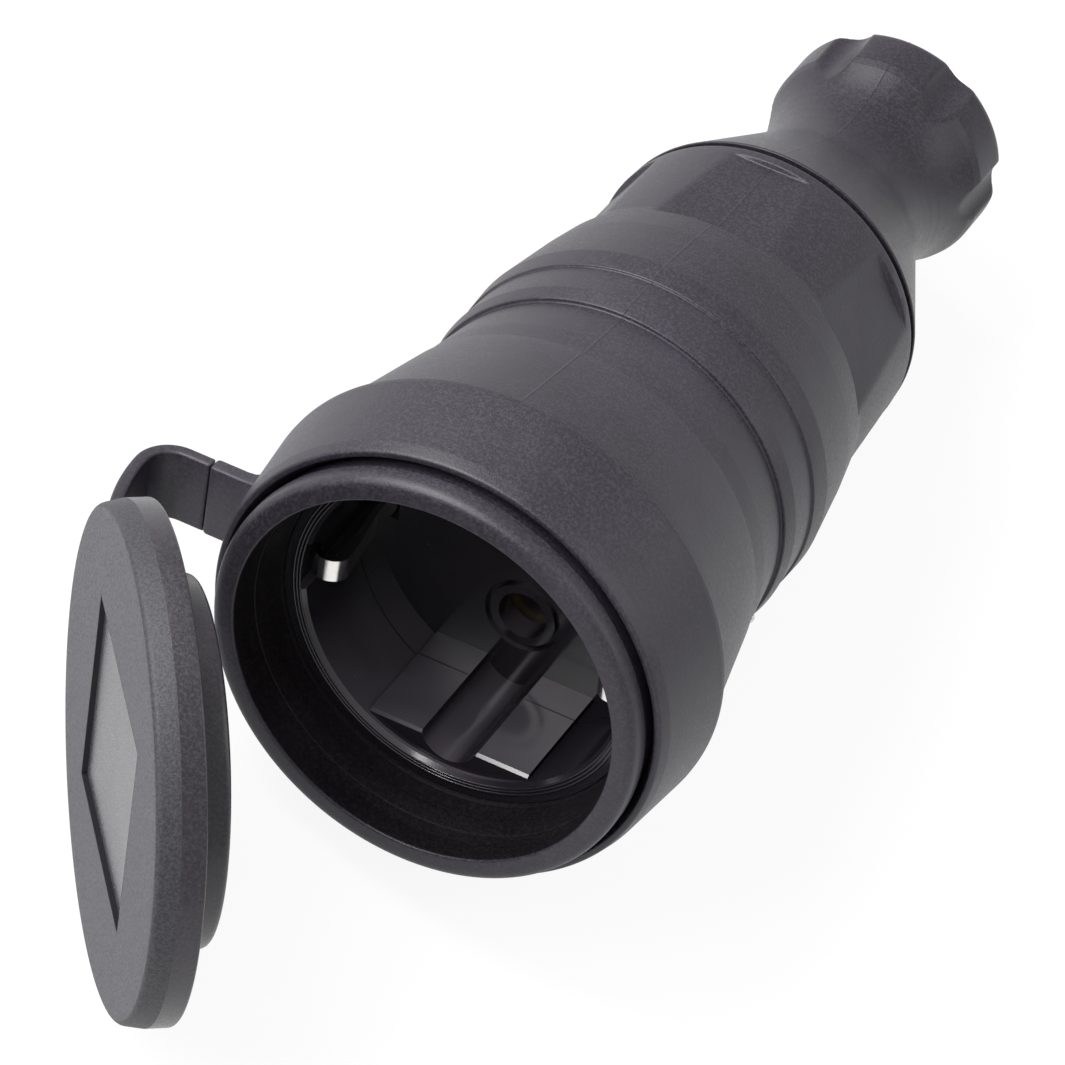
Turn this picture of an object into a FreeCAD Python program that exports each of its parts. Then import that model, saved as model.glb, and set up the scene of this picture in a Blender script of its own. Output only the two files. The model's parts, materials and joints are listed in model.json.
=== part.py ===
"""Rubber inline socket connector with two round pin contacts, side earth clips, a sealing lid on
a rubber strap and a screwed cable gland.

Every piece is drawn round the socket axis: z runs out of the mouth, x to the right and y up as
seen from the front, with zero at the lip of the mouth. Depths are counted back from the lip.
The finished pieces are then laid down together, as the connector lies on a table: on the rear
edge of its collar, on the flange of its gland nut and on the edge of its open lid.
"""
import FreeCAD, Part
import math
import os

import Sketcher

os.makedirs("parts", exist_ok=True)

SIZES = {
    # deep round recess of the contact insert; the sizes round it follow from it
    "recess_radius": 20.4,
    "recess_depth": 17.5,
    "recess_chamfer": 0.45,
    "insert_front_depth": 10.2,
    "insert_wall": 1.6,
    "insert_flange_lip": 0.9,
    "insert_flange_thickness": 1.6,
    "floor_thickness": 3.3,
    "pin_spacing": 19.0,
    "entry_radius": 3.1,
    "entry_ring_width": 1.1,
    "entry_moat_width": 0.7,
    "entry_moat_depth": 0.8,
    "key_flat": 17.05,
    "key_width": 20.6,
    "key_front_gap": 0.9,
    "key_chamfer": 0.35,
    "key_channel_radius": 3.75,
    "key_channel_centre": 16.0,
    "clip_slot_width": 6.8,
    "clip_slot_reach": 0.9,
    # lip and mouth of the rubber housing
    "mouth_gap": 1.3,
    "lip_width": 2.9,
    "lip_length": 2.9,
    "lip_round": 2.4,
    "lip_edge_round": 0.35,
    "mouth_straight": 4.0,
    "origin_depth": 2.7,
    "nose_inset": 0.5,
    "nose_length": 17.4,
    # outside of the rubber housing, front to back
    "shoulder_step": 2.55,
    "front_cone_length": 16.9,
    "front_cone_taper": 3.65,
    "edge_step": 0.45,
    "second_cone_length": 10.5,
    "second_cone_taper": 1.9,
    "sleeve_step": 0.55,
    "sleeve_crown": 0.28,
    "crown_offset": 2.2,
    "sleeve_length": 7.4,
    "sleeve_taper": 0.15,
    "bulge_step": 0.3,
    "bulge_crown": 0.12,
    "bulge_offset": 3.2,
    "bulge_length": 12.0,
    "ridge_drop": 1.3,
    "grip_front_offset": 5.6,
    "grip_front_drop": 1.15,
    "grip_length": 22.5,
    "grip_taper": 1.2,
    "grip_end_round": 0.6,
    "step_round": 0.22,
    # six flat finger pads round the grip
    "pad_count": 6,
    "pad_front_offset": 4.3,
    "pad_length": 16.5,
    "pad_front_width": 16.1,
    "pad_rear_width": 11.9,
    "pad_front_depth": 1.25,
    "pad_rear_depth": 0.55,
    "pad_cut_height": 6.0,
    # inside of the rubber housing
    "flange_gap": 0.1,
    "cavity_gap": 0.1,
    "wiring_step": 3.0,
    "wiring_length": 11.0,
    "wiring_taper_length": 3.0,
    "anchor_gap": 0.1,
    # lid collar
    "collar_front_depth": 3.6,
    "collar_rear_step": 0.9,
    "collar_flare": 1.2,
    "collar_mouth_gap": 1.2,
    "collar_mouth_depth": 2.0,
    "collar_front_round": 0.9,
    "collar_rear_round": 0.5,
    # hinge strap
    "strap_width": 10.0,
    "strap_thickness": 1.6,
    "strap_depth": 15.0,
    "strap_bend": 4.0,
    "strap_reach": 12.9,
    "lug_length": 5.5,
    "lug_thickness": 2.0,
    "crease_gap": 0.3,
    # sealing lid
    "lid_overhang": 2.5,
    "lid_thickness": 5.66,
    "lid_edge_round": 0.9,
    "lid_back_round": 0.4,
    "plug_radius": 21.0,
    "plug_length": 4.3,
    "plug_round": 0.8,
    "plug_wall": 3.4,
    "plug_hollow_depth": 2.2,
    "panel_height": 37.4,
    "panel_width": 36.6,
    "panel_depth": 0.6,
    "panel_turn": 45.0,
    "lid_tab_length": 1.6,
    "lid_seat_gap": 0.3,
    "lid_open_angle": 51.7,
    "hinge_reach": 8.3,
    "hinge_depth": 3.8,
    # contact carrier behind the insert
    "carrier_inset": 2.5,
    "carrier_length": 14.2,
    "carrier_gap": 0.1,
    "barrier_inset": 5.3,
    "barrier_length": 7.2,
    "barrier_thickness": 1.6,
    "barrier_offset": 3.3,
    # pin contacts
    "pin_bore_radius": 2.43,
    "tulip_wall": 0.92,
    "tulip_gap": 0.1,
    "tulip_start": 3.2,
    "slit_width": 0.8,
    "slit_length": 8.0,
    "terminal_width": 7.6,
    "terminal_height": 7.4,
    "terminal_length": 7.0,
    "wire_hole_radius": 1.7,
    "wire_hole_end": 1.0,
    # clamp springs round the pin contacts
    "spring_thickness": 0.5,
    "spring_length": 4.0,
    "spring_offset": 3.6,
    "spring_gap_width": 1.6,
    "spring_pocket_gap": 0.15,
    # terminal and carrier screws
    "screw_radius": 1.5,
    "screw_length": 4.6,
    "screw_head_radius": 2.6,
    "screw_head_height": 1.5,
    "screw_slot_width": 0.7,
    "screw_slot_depth": 0.7,
    "screw_clearance": 0.05,
    "carrier_screw_inset": 5.3,
    "carrier_screw_angle": 42.0,
    "carrier_screw_bite": 1.8,
    # earth bracket
    "strip_thickness": 0.8,
    "strip_width": 3.0,
    "groove_gap": 0.2,
    "clip_wall_inset": 2.2,
    "clip_inner_inset": 3.7,
    "clip_outer_inset": 0.05,
    "clip_front_depth": 1.3,
    "clip_knee_depth": 3.2,
    "clip_root_depth": 12.0,
    "earth_tab_inset": 7.1,
    "earth_tab_bite": 3.6,
    "earth_block_width": 6.4,
    "earth_block_height": 6.0,
    "earth_slot_gap": 0.05,
    # insert pin
    "insert_pin_radius": 0.75,
    "insert_pin_depth": 42.6,
    "insert_pin_angle": -22.5,
    "insert_pin_bite": 2.5,
    "insert_pin_proud": 0.3,
    "insert_pin_clearance": 0.05,
    # cable gland
    "gland_thread_inset": 7.65,
    "gland_wall": 5.0,
    "gland_anchor_lip": 4.5,
    "gland_anchor_length": 3.0,
    "gland_front_depth": 14.7,
    "gland_reach": 8.8,
    "gland_socket_wall": 2.4,
    "gland_socket_depth": 11.0,
    "seal_length": 8.4,
    "seal_wall": 5.4,
    "seal_gap": 0.1,
    "collet_length": 6.6,
    "collet_wall": 4.7,
    "collet_nose_taper": 1.9,
    "collet_nose_length": 2.6,
    "collet_slit_width": 1.0,
    "collet_slit_length": 4.6,
    "washer_thickness": 1.2,
    "washer_wall": 4.4,
    "washer_inset": 0.8,
    "washer_seat_gap": 0.1,
    "washer_gap": 0.3,
    # gland nut
    "nut_gap": 0.5,
    "nut_flange_step": -0.05,
    "nut_flange_length": 0.35,
    "nut_front_round": 0.3,
    "nut_cone_drop": 7.26,
    "nut_cone_length": 15.45,
    "nut_waist_drop": 1.34,
    "nut_waist_offset": 6.7,
    "nut_bell_offset": 15.0,
    "nut_bell_rise": 0.66,
    "nut_rim_step": 0.45,
    "nut_rim_offset": 1.3,
    "nut_rim_length": 6.4,
    "nut_end_round": 1.6,
    "nut_thread_clearance": 0.08,
    "nut_thread_length": 9.0,
    "nut_pocket_clearance": 0.2,
    "nut_bore_wall": 4.1,
    "nut_bore_length": 9.0,
    "nut_mouth_wall": 3.4,
    "scallop_count": 6,
    "scallop_radius": 4.0,
    "scallop_depth": 1.25,
    "scallop_length": 9.0,
}

doc = FreeCAD.newDocument("inline_socket")
dim = doc.addObject("Spreadsheet::Sheet", "dim")
for row, (alias, value) in enumerate(SIZES.items(), start=1):
    dim.set(f"A{row}", alias)
    dim.set(f"B{row}", str(value))
    dim.setAlias(f"B{row}", alias)
doc.recompute()

AXIS_Z = FreeCAD.Vector(0, 0, 1)
AXIS_Y = FreeCAD.Vector(0, 1, 0)
AXIS_X = FreeCAD.Vector(1, 0, 0)

# Radii that several pieces share, written from the sizes in the sheet.
INSERT_R = "(dim.recess_radius + dim.insert_wall)"
FLANGE_R = "(dim.recess_radius + dim.insert_wall + dim.insert_flange_lip)"
MOUTH_R = f"({FLANGE_R} + dim.mouth_gap)"
LIP_R = f"({MOUTH_R} + dim.lip_width)"
NOSE_R = f"({LIP_R} - dim.nose_inset)"
SHOULDER_R = f"({NOSE_R} + dim.shoulder_step)"
COLLAR_R = f"({SHOULDER_R} + dim.collar_rear_step)"
CONE_R = f"({SHOULDER_R} - dim.front_cone_taper)"
SLEEVE_ROOT_R = f"({CONE_R} - dim.second_cone_taper)"
SLEEVE_END_R = f"({SLEEVE_ROOT_R} + dim.sleeve_step - dim.sleeve_taper)"
BULGE_R = f"({SLEEVE_END_R} + dim.bulge_step)"
RIDGE_R = f"({BULGE_R} - dim.ridge_drop)"
GRIP_FRONT_R = f"({RIDGE_R} - dim.grip_front_drop)"
GRIP_END_R = f"({GRIP_FRONT_R} - dim.grip_taper)"
CARRIER_R = f"({INSERT_R} - dim.carrier_inset)"
TULIP_R = "(dim.pin_bore_radius + dim.tulip_wall)"
RING_R = "(dim.entry_radius + dim.entry_ring_width)"
LID_R = f"({LIP_R} + dim.lid_overhang)"
EARTH_REACH = f"({CARRIER_R} - dim.earth_tab_inset)"
BARRIER_REACH = f"({CARRIER_R} - dim.barrier_inset)"
THREAD_R = f"({GRIP_END_R} - dim.gland_thread_inset)"
GLAND_BORE_R = f"({THREAD_R} - dim.gland_wall)"
ANCHOR_R = f"({THREAD_R} + dim.gland_anchor_lip)"
WIRING_R = f"({ANCHOR_R} - dim.wiring_step)"
SOCKET_R = f"({THREAD_R} - dim.gland_socket_wall)"
SEAL_HOLE_R = f"({SOCKET_R} - dim.seal_wall)"
COLLET_HOLE_R = f"({SOCKET_R} - dim.collet_wall)"
NUT_BORE_R = f"({SOCKET_R} - dim.nut_bore_wall)"
NUT_R = f"({GRIP_END_R} + dim.nut_flange_step)"
NUT_NECK_R = f"({NUT_R} - dim.nut_cone_drop)"
NUT_BELL_R = f"({NUT_NECK_R} + dim.nut_bell_rise)"
NUT_RIM_R = f"({NUT_BELL_R} + dim.nut_rim_step)"

# Depths behind the lip of the mouth that several pieces share.
FLANGE_BACK = "(dim.insert_front_depth + dim.insert_flange_thickness)"
FLOOR = "(dim.insert_front_depth + dim.recess_depth)"
FLOOR_BACK = f"({FLOOR} + dim.floor_thickness)"
CARRIER_FRONT = f"({FLOOR_BACK} + dim.carrier_gap)"
CARRIER_BACK = f"({CARRIER_FRONT} + dim.carrier_length)"
TERMINAL_BACK = f"({CARRIER_BACK} + dim.terminal_length)"
CONE_END = "(dim.nose_length + dim.front_cone_length)"
STEP_F = f"({CONE_END} + dim.second_cone_length)"
STEP_G = f"({STEP_F} + dim.sleeve_length)"
RIDGE = f"({STEP_G} + dim.bulge_length)"
HOUSING_END = f"({RIDGE} + dim.grip_length)"
PAD_START = f"({RIDGE} + dim.pad_front_offset)"
WIRING_START = f"({CARRIER_BACK} + dim.wiring_length)"
GLAND_START = f"({HOUSING_END} - dim.gland_front_depth)"
ANCHOR_END = f"({GLAND_START} + dim.gland_anchor_length)"
GLAND_END = f"({HOUSING_END} + dim.gland_reach)"
SEAL_START = f"({GLAND_END} - dim.gland_socket_depth)"
COLLET_START = f"({SEAL_START} + dim.seal_length)"
COLLET_END = f"({COLLET_START} + dim.collet_length)"
WASHER_END = f"({COLLET_END} + dim.washer_seat_gap + dim.washer_thickness)"
NUT_FRONT = f"({HOUSING_END} + dim.nut_gap)"
NUT_CONE = f"({NUT_FRONT} + dim.nut_flange_length)"
NUT_NECK = f"({NUT_CONE} + dim.nut_cone_length)"
NUT_BELL = f"({NUT_NECK} + dim.nut_bell_offset)"
NUT_RIM = f"({NUT_BELL} + dim.nut_rim_offset)"
NUT_END = f"({NUT_RIM} + dim.nut_rim_length)"
NUT_THREAD_END = f"({NUT_FRONT} + dim.nut_thread_length)"
NUT_SHOULDER = f"({WASHER_END} + dim.washer_gap)"


def value(expression):
    """Work out an expression of the sheet's sizes."""
    return float(dim.evalExpression(expression))


def origin_plane(body, role):
    """Return the body's own origin plane or axis with the given role."""
    return next(item for item in body.Origin.OriginFeatures if item.Role == role)


def add_sketch(body, name, role, offset=None):
    """Add a sketch on one of the body's origin planes, lifted by an offset expression."""
    sketch = body.newObject("Sketcher::SketchObject", name)
    sketch.AttachmentSupport = [(origin_plane(body, role), "")]
    sketch.MapMode = "FlatFace"
    if offset is not None:
        sketch.setExpression("AttachmentOffset.Base.z", offset)
    return sketch


def pin_point(sketch, geometry, position, across, up):
    """Hold one point of a sketch at two expressions, or on an axis where one is zero."""
    level, upright = -1, -2
    for kind, axis, expression in (("DistanceX", upright, across), ("DistanceY", level, up)):
        if expression == "0":
            sketch.addConstraint(Sketcher.Constraint("PointOnObject", geometry, position, axis))
            continue
        point = sketch.getPoint(geometry, position)
        now = point.x if kind == "DistanceX" else point.y
        index = sketch.addConstraint(
            Sketcher.Constraint(kind, level, 1, geometry, position, now))
        sketch.setExpression(f"Constraints[{index}]", expression)


def draw_outline(sketch, corners, arcs=None):
    """Draw a closed outline through corners given as pairs of expressions.

    arcs holds, for the number of the corner an arc starts from, a point that the arc runs through.
    """
    arcs = arcs or {}
    count = len(corners)
    start = [FreeCAD.Vector(value(across), value(up), 0) for across, up in corners]
    for i in range(count):
        first, last = start[i], start[(i + 1) % count]
        if i in arcs:
            middle = FreeCAD.Vector(value(arcs[i][0]), value(arcs[i][1]), 0)
            sketch.addGeometry(Part.Arc(first, middle, last), False)
        else:
            sketch.addGeometry(Part.LineSegment(first, last), False)
    ends = []
    for i in range(count):
        begins = (sketch.getPoint(i, 1) - start[i]).Length < 1e-6
        ends.append((1, 2) if begins else (2, 1))
    for i in range(count):
        after = (i + 1) % count
        sketch.addConstraint(
            Sketcher.Constraint("Coincident", i, ends[i][1], after, ends[after][0]))
    for i, (across, up) in enumerate(corners):
        pin_point(sketch, i, ends[i][0], across, up)
    for i, (across, up) in arcs.items():
        point = sketch.addGeometry(Part.Point(FreeCAD.Vector(value(across), value(up), 0)), True)
        pin_point(sketch, point, 1, across, up)
        sketch.addConstraint(Sketcher.Constraint("PointOnObject", point, 1, i))


def turned(label, corners, arcs=None):
    """Turn an outline of (radius, height) corners round the z axis into a body."""
    body = doc.addObject("PartDesign::Body", label)
    sketch = add_sketch(body, f"{label}_outline", "XZ_Plane")
    draw_outline(sketch, corners, arcs)
    turn = body.newObject("PartDesign::Revolution", f"{label}_turn")
    turn.Profile = sketch
    turn.ReferenceAxis = (sketch, ["V_Axis"])
    turn.Angle = 360.0
    doc.recompute()
    return body, sketch


def ring_edges(shape, radius, height):
    """Name the round edges of a shape that have this radius and height on the z axis."""
    names = []
    for number, edge in enumerate(shape.Edges, start=1):
        if not isinstance(edge.Curve, Part.Circle):
            continue
        circle = edge.Curve
        if abs(circle.Radius - radius) < 1e-4 and abs(circle.Center.z - height) < 1e-4:
            names.append(f"Edge{number}")
    return names


def round_corners(body, sketch, corners, radius):
    """Fillet the edges that the numbered corners of a turned outline make."""
    names = []
    for corner in corners:
        point = sketch.getPoint(corner, 1)
        names += ring_edges(body.Tip.Shape, point.x, point.y)
    base = body.Tip
    fillet = body.newObject("PartDesign::Fillet", f"{body.Name}_round{len(body.Group)}")
    fillet.Base = (base, names)
    fillet.setExpression("Radius", radius)
    body.Tip = fillet
    doc.recompute()


def lay(thing, x="0", y="0", z="0", axis=None, angle=0.0):
    """Place a primitive: a position by expressions, and a turn about an axis in degrees."""
    if axis is not None:
        thing.Placement = FreeCAD.Placement(FreeCAD.Vector(), FreeCAD.Rotation(axis, angle))
    for letter, expression in (("x", x), ("y", y), ("z", z)):
        if expression != "0":
            thing.setExpression(f"Placement.Base.{letter}", expression)
    return thing


def cylinder(name, radius, height, **place):
    """Make a cylinder from expressions, standing on its place."""
    thing = doc.addObject("Part::Cylinder", name)
    thing.setExpression("Radius", radius)
    thing.setExpression("Height", height)
    return lay(thing, **place)


def cone(name, radius1, radius2, height, **place):
    """Make a cone frustum from expressions, standing on its place."""
    thing = doc.addObject("Part::Cone", name)
    thing.setExpression("Radius1", radius1)
    thing.setExpression("Radius2", radius2)
    thing.setExpression("Height", height)
    return lay(thing, **place)


def block(name, length, width, height, **place):
    """Make a box from expressions with its low corner at its place."""
    thing = doc.addObject("Part::Box", name)
    thing.setExpression("Length", length)
    thing.setExpression("Width", width)
    thing.setExpression("Height", height)
    return lay(thing, **place)


def fuse(name, pieces):
    """Join pieces into one."""
    thing = doc.addObject("Part::MultiFuse", name)
    thing.Shapes = pieces
    return thing


def cut(name, base, tools):
    """Cut one or more tools out of a base."""
    thing = doc.addObject("Part::Cut", name)
    thing.Base = base
    thing.Tool = tools[0] if len(tools) == 1 else fuse(f"{name}_tools", tools)
    return thing


def common(name, base, tool):
    """Keep what two pieces share."""
    thing = doc.addObject("Part::Common", name)
    thing.Base = base
    thing.Tool = tool
    return thing


def pattern_round(body, feature, count):
    """Repeat a feature evenly round the z axis."""
    pattern = body.newObject("PartDesign::PolarPattern", f"{feature.Name}_round")
    pattern.Originals = [feature]
    pattern.Axis = (origin_plane(body, "Z_Axis"), [""])
    pattern.Angle = 360.0
    pattern.setExpression("Occurrences", count)
    body.Tip = pattern
    doc.recompute()
    return pattern


def rubber_housing():
    """The one-piece rubber housing, from the lip of the mouth to the gland."""
    body, sketch = turned("housing_moulding", [
        (MOUTH_R, "0"),
        (LIP_R, "0"),
        (LIP_R, "-dim.lip_length"),
        (NOSE_R, "-dim.lip_length - dim.nose_inset"),
        (NOSE_R, "-dim.nose_length"),
        (SHOULDER_R, "-dim.nose_length"),
        (CONE_R, f"-{CONE_END}"),
        (f"{CONE_R} - dim.edge_step", f"-{CONE_END} - dim.edge_step"),
        (SLEEVE_ROOT_R, f"-{STEP_F}"),
        (f"{SLEEVE_ROOT_R} + dim.sleeve_step", f"-{STEP_F}"),
        (f"{SLEEVE_ROOT_R} + dim.sleeve_step + dim.sleeve_crown", f"-{STEP_F} - dim.crown_offset"),
        (SLEEVE_END_R, f"-{STEP_G}"),
        (BULGE_R, f"-{STEP_G}"),
        (f"{BULGE_R} + dim.bulge_crown", f"-{STEP_G} - dim.bulge_offset"),
        (RIDGE_R, f"-{RIDGE}"),
        (GRIP_FRONT_R, f"-{RIDGE} - dim.grip_front_offset"),
        (GRIP_END_R, f"-{HOUSING_END}"),
        (f"{THREAD_R} + dim.anchor_gap", f"-{HOUSING_END}"),
        (f"{THREAD_R} + dim.anchor_gap", f"-{ANCHOR_END} - dim.anchor_gap"),
        (f"{ANCHOR_R} + dim.anchor_gap", f"-{ANCHOR_END} - dim.anchor_gap"),
        (f"{ANCHOR_R} + dim.anchor_gap", f"-{GLAND_START}"),
        (WIRING_R, f"-{GLAND_START}"),
        (WIRING_R, f"-{WIRING_START}"),
        (f"{CARRIER_R} + dim.cavity_gap", f"-{WIRING_START} + dim.wiring_taper_length"),
        (f"{CARRIER_R} + dim.cavity_gap", f"-{FLOOR_BACK}"),
        (f"{INSERT_R} + dim.cavity_gap", f"-{FLOOR_BACK}"),
        (f"{INSERT_R} + dim.cavity_gap", f"-{FLANGE_BACK}"),
        (f"{FLANGE_R} + dim.flange_gap", f"-{FLANGE_BACK}"),
        (f"{FLANGE_R} + dim.flange_gap", "-dim.insert_front_depth"),
        (MOUTH_R, "-dim.mouth_straight"),
    ])
    round_corners(body, sketch, [0], "min(dim.lip_edge_round; 0.14 * dim.lip_width)")
    round_corners(body, sketch, [1], "min(dim.lip_round; 0.84 * dim.lip_width; 0.9 * dim.lip_length)")
    round_corners(body, sketch, [9, 12], "dim.step_round")
    round_corners(body, sketch, [16], "dim.grip_end_round")
    front = add_sketch(body, "pad_front", "XY_Plane", f"-{PAD_START}")
    rear = add_sketch(body, "pad_rear", "XY_Plane", f"-{PAD_START} - dim.pad_length")
    for pad, width, height in (
            (front, "dim.pad_front_width", f"{GRIP_FRONT_R} - dim.pad_front_depth"),
            (rear, "dim.pad_rear_width", f"{GRIP_END_R} - dim.pad_rear_depth")):
        draw_outline(pad, [
            (f"{width} / 2", height),
            (f"{width} / 2", f"{height} + dim.pad_cut_height"),
            (f"-{width} / 2", f"{height} + dim.pad_cut_height"),
            (f"-{width} / 2", height),
        ])
    doc.recompute()
    pads = body.newObject("PartDesign::SubtractiveLoft", "finger_pad")
    pads.Profile = front
    pads.Sections = [rear]
    pads.Ruled = True
    body.Tip = pads
    doc.recompute()
    pattern_round(body, pads, "dim.pad_count")
    return cut("rubber_housing", body, [insert_pin_rod("housing_pin_hole", "dim.insert_pin_clearance")])


def insert_pin_rod(name, clearance="0"):
    """A rod on the line of the insert pin, from the carrier out past the housing's wall."""
    out = FreeCAD.Rotation(AXIS_Z, value("dim.insert_pin_angle")).multVec(AXIS_X)
    inner = f"({CARRIER_R} - dim.insert_pin_bite - {clearance})"
    proud = f"({SLEEVE_ROOT_R} + dim.insert_pin_proud)"
    rod = doc.addObject("Part::Cylinder", name)
    rod.setExpression("Radius", f"dim.insert_pin_radius + {clearance}")
    rod.setExpression("Height", f"{proud} - {inner} + 40 * {clearance}")
    rod.Placement = FreeCAD.Placement(FreeCAD.Vector(), FreeCAD.Rotation(AXIS_Z, out))
    rod.setExpression("Placement.Base.x", f"{inner} * cos(dim.insert_pin_angle)")
    rod.setExpression("Placement.Base.y", f"{inner} * sin(dim.insert_pin_angle)")
    rod.setExpression("Placement.Base.z", "-dim.insert_pin_depth")
    return rod


def insert_pin():
    """The round-headed pin that locks the carrier in the housing."""
    proud = f"({SLEEVE_ROOT_R} + dim.insert_pin_proud)"
    head = doc.addObject("Part::Sphere", "insert_pin_head")
    head.setExpression("Radius", "dim.insert_pin_radius")
    lay(head, x=f"{proud} * cos(dim.insert_pin_angle)", y=f"{proud} * sin(dim.insert_pin_angle)",
        z="-dim.insert_pin_depth")
    return fuse("insert_pin", [insert_pin_rod("insert_pin_shank"), head])


def lid_collar():
    """The rubber collar round the nose of the housing, with the lug of the strap."""
    body, sketch = turned("collar_ring", [
        (f"{NOSE_R} + dim.cavity_gap", "-dim.nose_length"),
        (COLLAR_R, "-dim.nose_length"),
        (f"{COLLAR_R} - dim.collar_flare", "-dim.collar_front_depth"),
        (f"{NOSE_R} + dim.collar_mouth_gap", "-dim.collar_front_depth"),
        (f"{NOSE_R} + dim.cavity_gap", "-dim.collar_front_depth - dim.collar_mouth_depth"),
    ])
    round_corners(body, sketch, [1], "dim.collar_rear_round")
    face = f"({COLLAR_R} - dim.collar_flare - {NOSE_R} - dim.collar_mouth_gap)"
    round_corners(body, sketch, [2], f"min(dim.collar_front_round; 0.9 * {face})")
    lug = block("strap_lug", f"dim.lug_length + {COLLAR_R} - {NOSE_R} - dim.collar_mouth_gap",
                "dim.strap_width", "dim.lug_thickness", x=f"-{COLLAR_R} - dim.lug_length",
                y="-dim.strap_width / 2", z="-dim.strap_depth - dim.lug_thickness / 2")
    return fuse("lid_collar", [body, lug])


def lid_place():
    """The open lid's place: its closed place turned back about the hinge line."""
    pivot = FreeCAD.Vector(-value(f"{COLLAR_R} + dim.hinge_reach"), 0, -value("dim.hinge_depth"))
    closed = FreeCAD.Vector(0, 0, value("dim.lid_seat_gap"))
    swing = FreeCAD.Rotation(AXIS_Y, -value("dim.lid_open_angle"))
    return FreeCAD.Placement(pivot + swing.multVec(closed - pivot), swing)


def lid_strap():
    """The flat rubber strap that bends between the collar's lug and the lid's tab."""
    depth = value("dim.strap_depth")
    bend = value("dim.strap_bend")
    reach = value(f"{COLLAR_R} + dim.strap_reach")
    half_width = value("dim.strap_width / 2")
    half_thick = value("dim.strap_thickness / 2")
    place = lid_place()
    first = FreeCAD.Vector(-value(f"{COLLAR_R} + dim.lug_length + dim.crease_gap"), 0, -depth)
    corner = FreeCAD.Vector(-reach + bend, 0, -depth)
    slant = bend * math.sin(math.pi / 4)
    bend_mid = FreeCAD.Vector(-reach + bend - slant, 0, -depth + bend - slant)
    bend_end = FreeCAD.Vector(-reach, 0, -depth + bend)
    last = place.multVec(FreeCAD.Vector(-value(f"{LID_R} + 2 * dim.crease_gap"), 0, half_thick))
    heading = place.Rotation.multVec(AXIS_X)
    third = (last - bend_end).Length / 3
    sweep = Part.BezierCurve()
    sweep.setPoles([bend_end, bend_end + AXIS_Z * third, last - heading * third, last])
    path = Part.Wire([
        Part.LineSegment(first, corner).toShape(),
        Part.Arc(corner, bend_mid, bend_end).toShape(),
        sweep.toShape(),
    ])
    section = Part.makePolygon([
        FreeCAD.Vector(first.x, half_width * across, first.z + half_thick * up)
        for across, up in ((-1, -1), (1, -1), (1, 1), (-1, 1), (-1, -1))])
    strap = doc.addObject("Part::Feature", "lid_strap")
    strap.Shape = path.makePipeShell([section], True, False)
    return strap


def sealing_lid():
    """The round rubber lid with its plug, its sunken panel and the tab for the strap."""
    hollow = "(dim.plug_length - dim.plug_hollow_depth)"
    body, sketch = turned("lid_disc", [
        ("0", "dim.lid_thickness"),
        ("0", f"-{hollow}"),
        ("dim.plug_radius - dim.plug_wall", f"-{hollow}"),
        ("dim.plug_radius - dim.plug_wall", "-dim.plug_length"),
        ("dim.plug_radius", "-dim.plug_length"),
        ("dim.plug_radius", "0"),
        (LID_R, "0"),
        (LID_R, "dim.lid_thickness"),
    ])
    round_corners(body, sketch, [4], "dim.plug_round")
    round_corners(body, sketch, [6], "dim.lid_back_round")
    round_corners(body, sketch, [7], "dim.lid_edge_round")
    panel = add_sketch(body, "lid_panel_outline", "XY_Plane", "dim.lid_thickness")
    tips = []
    for half, quarter in (("dim.panel_width / 2", 0), ("dim.panel_height / 2", 90),
                          ("dim.panel_width / 2", 180), ("dim.panel_height / 2", 270)):
        angle = f"dim.panel_turn + {quarter}"
        tips.append((f"{half} * cos({angle})", f"{half} * sin({angle})"))
    draw_outline(panel, tips)
    doc.recompute()
    pocket = body.newObject("PartDesign::Pocket", "lid_panel")
    pocket.Profile = panel
    pocket.setExpression("Length", "dim.panel_depth")
    body.Tip = pocket
    doc.recompute()
    tab = block("lid_tab", "dim.lid_tab_length", "dim.strap_width", "dim.strap_thickness",
                x=f"-{LID_R} - dim.crease_gap", y="-dim.strap_width / 2")
    return fuse("sealing_lid", [body, tab])


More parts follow.
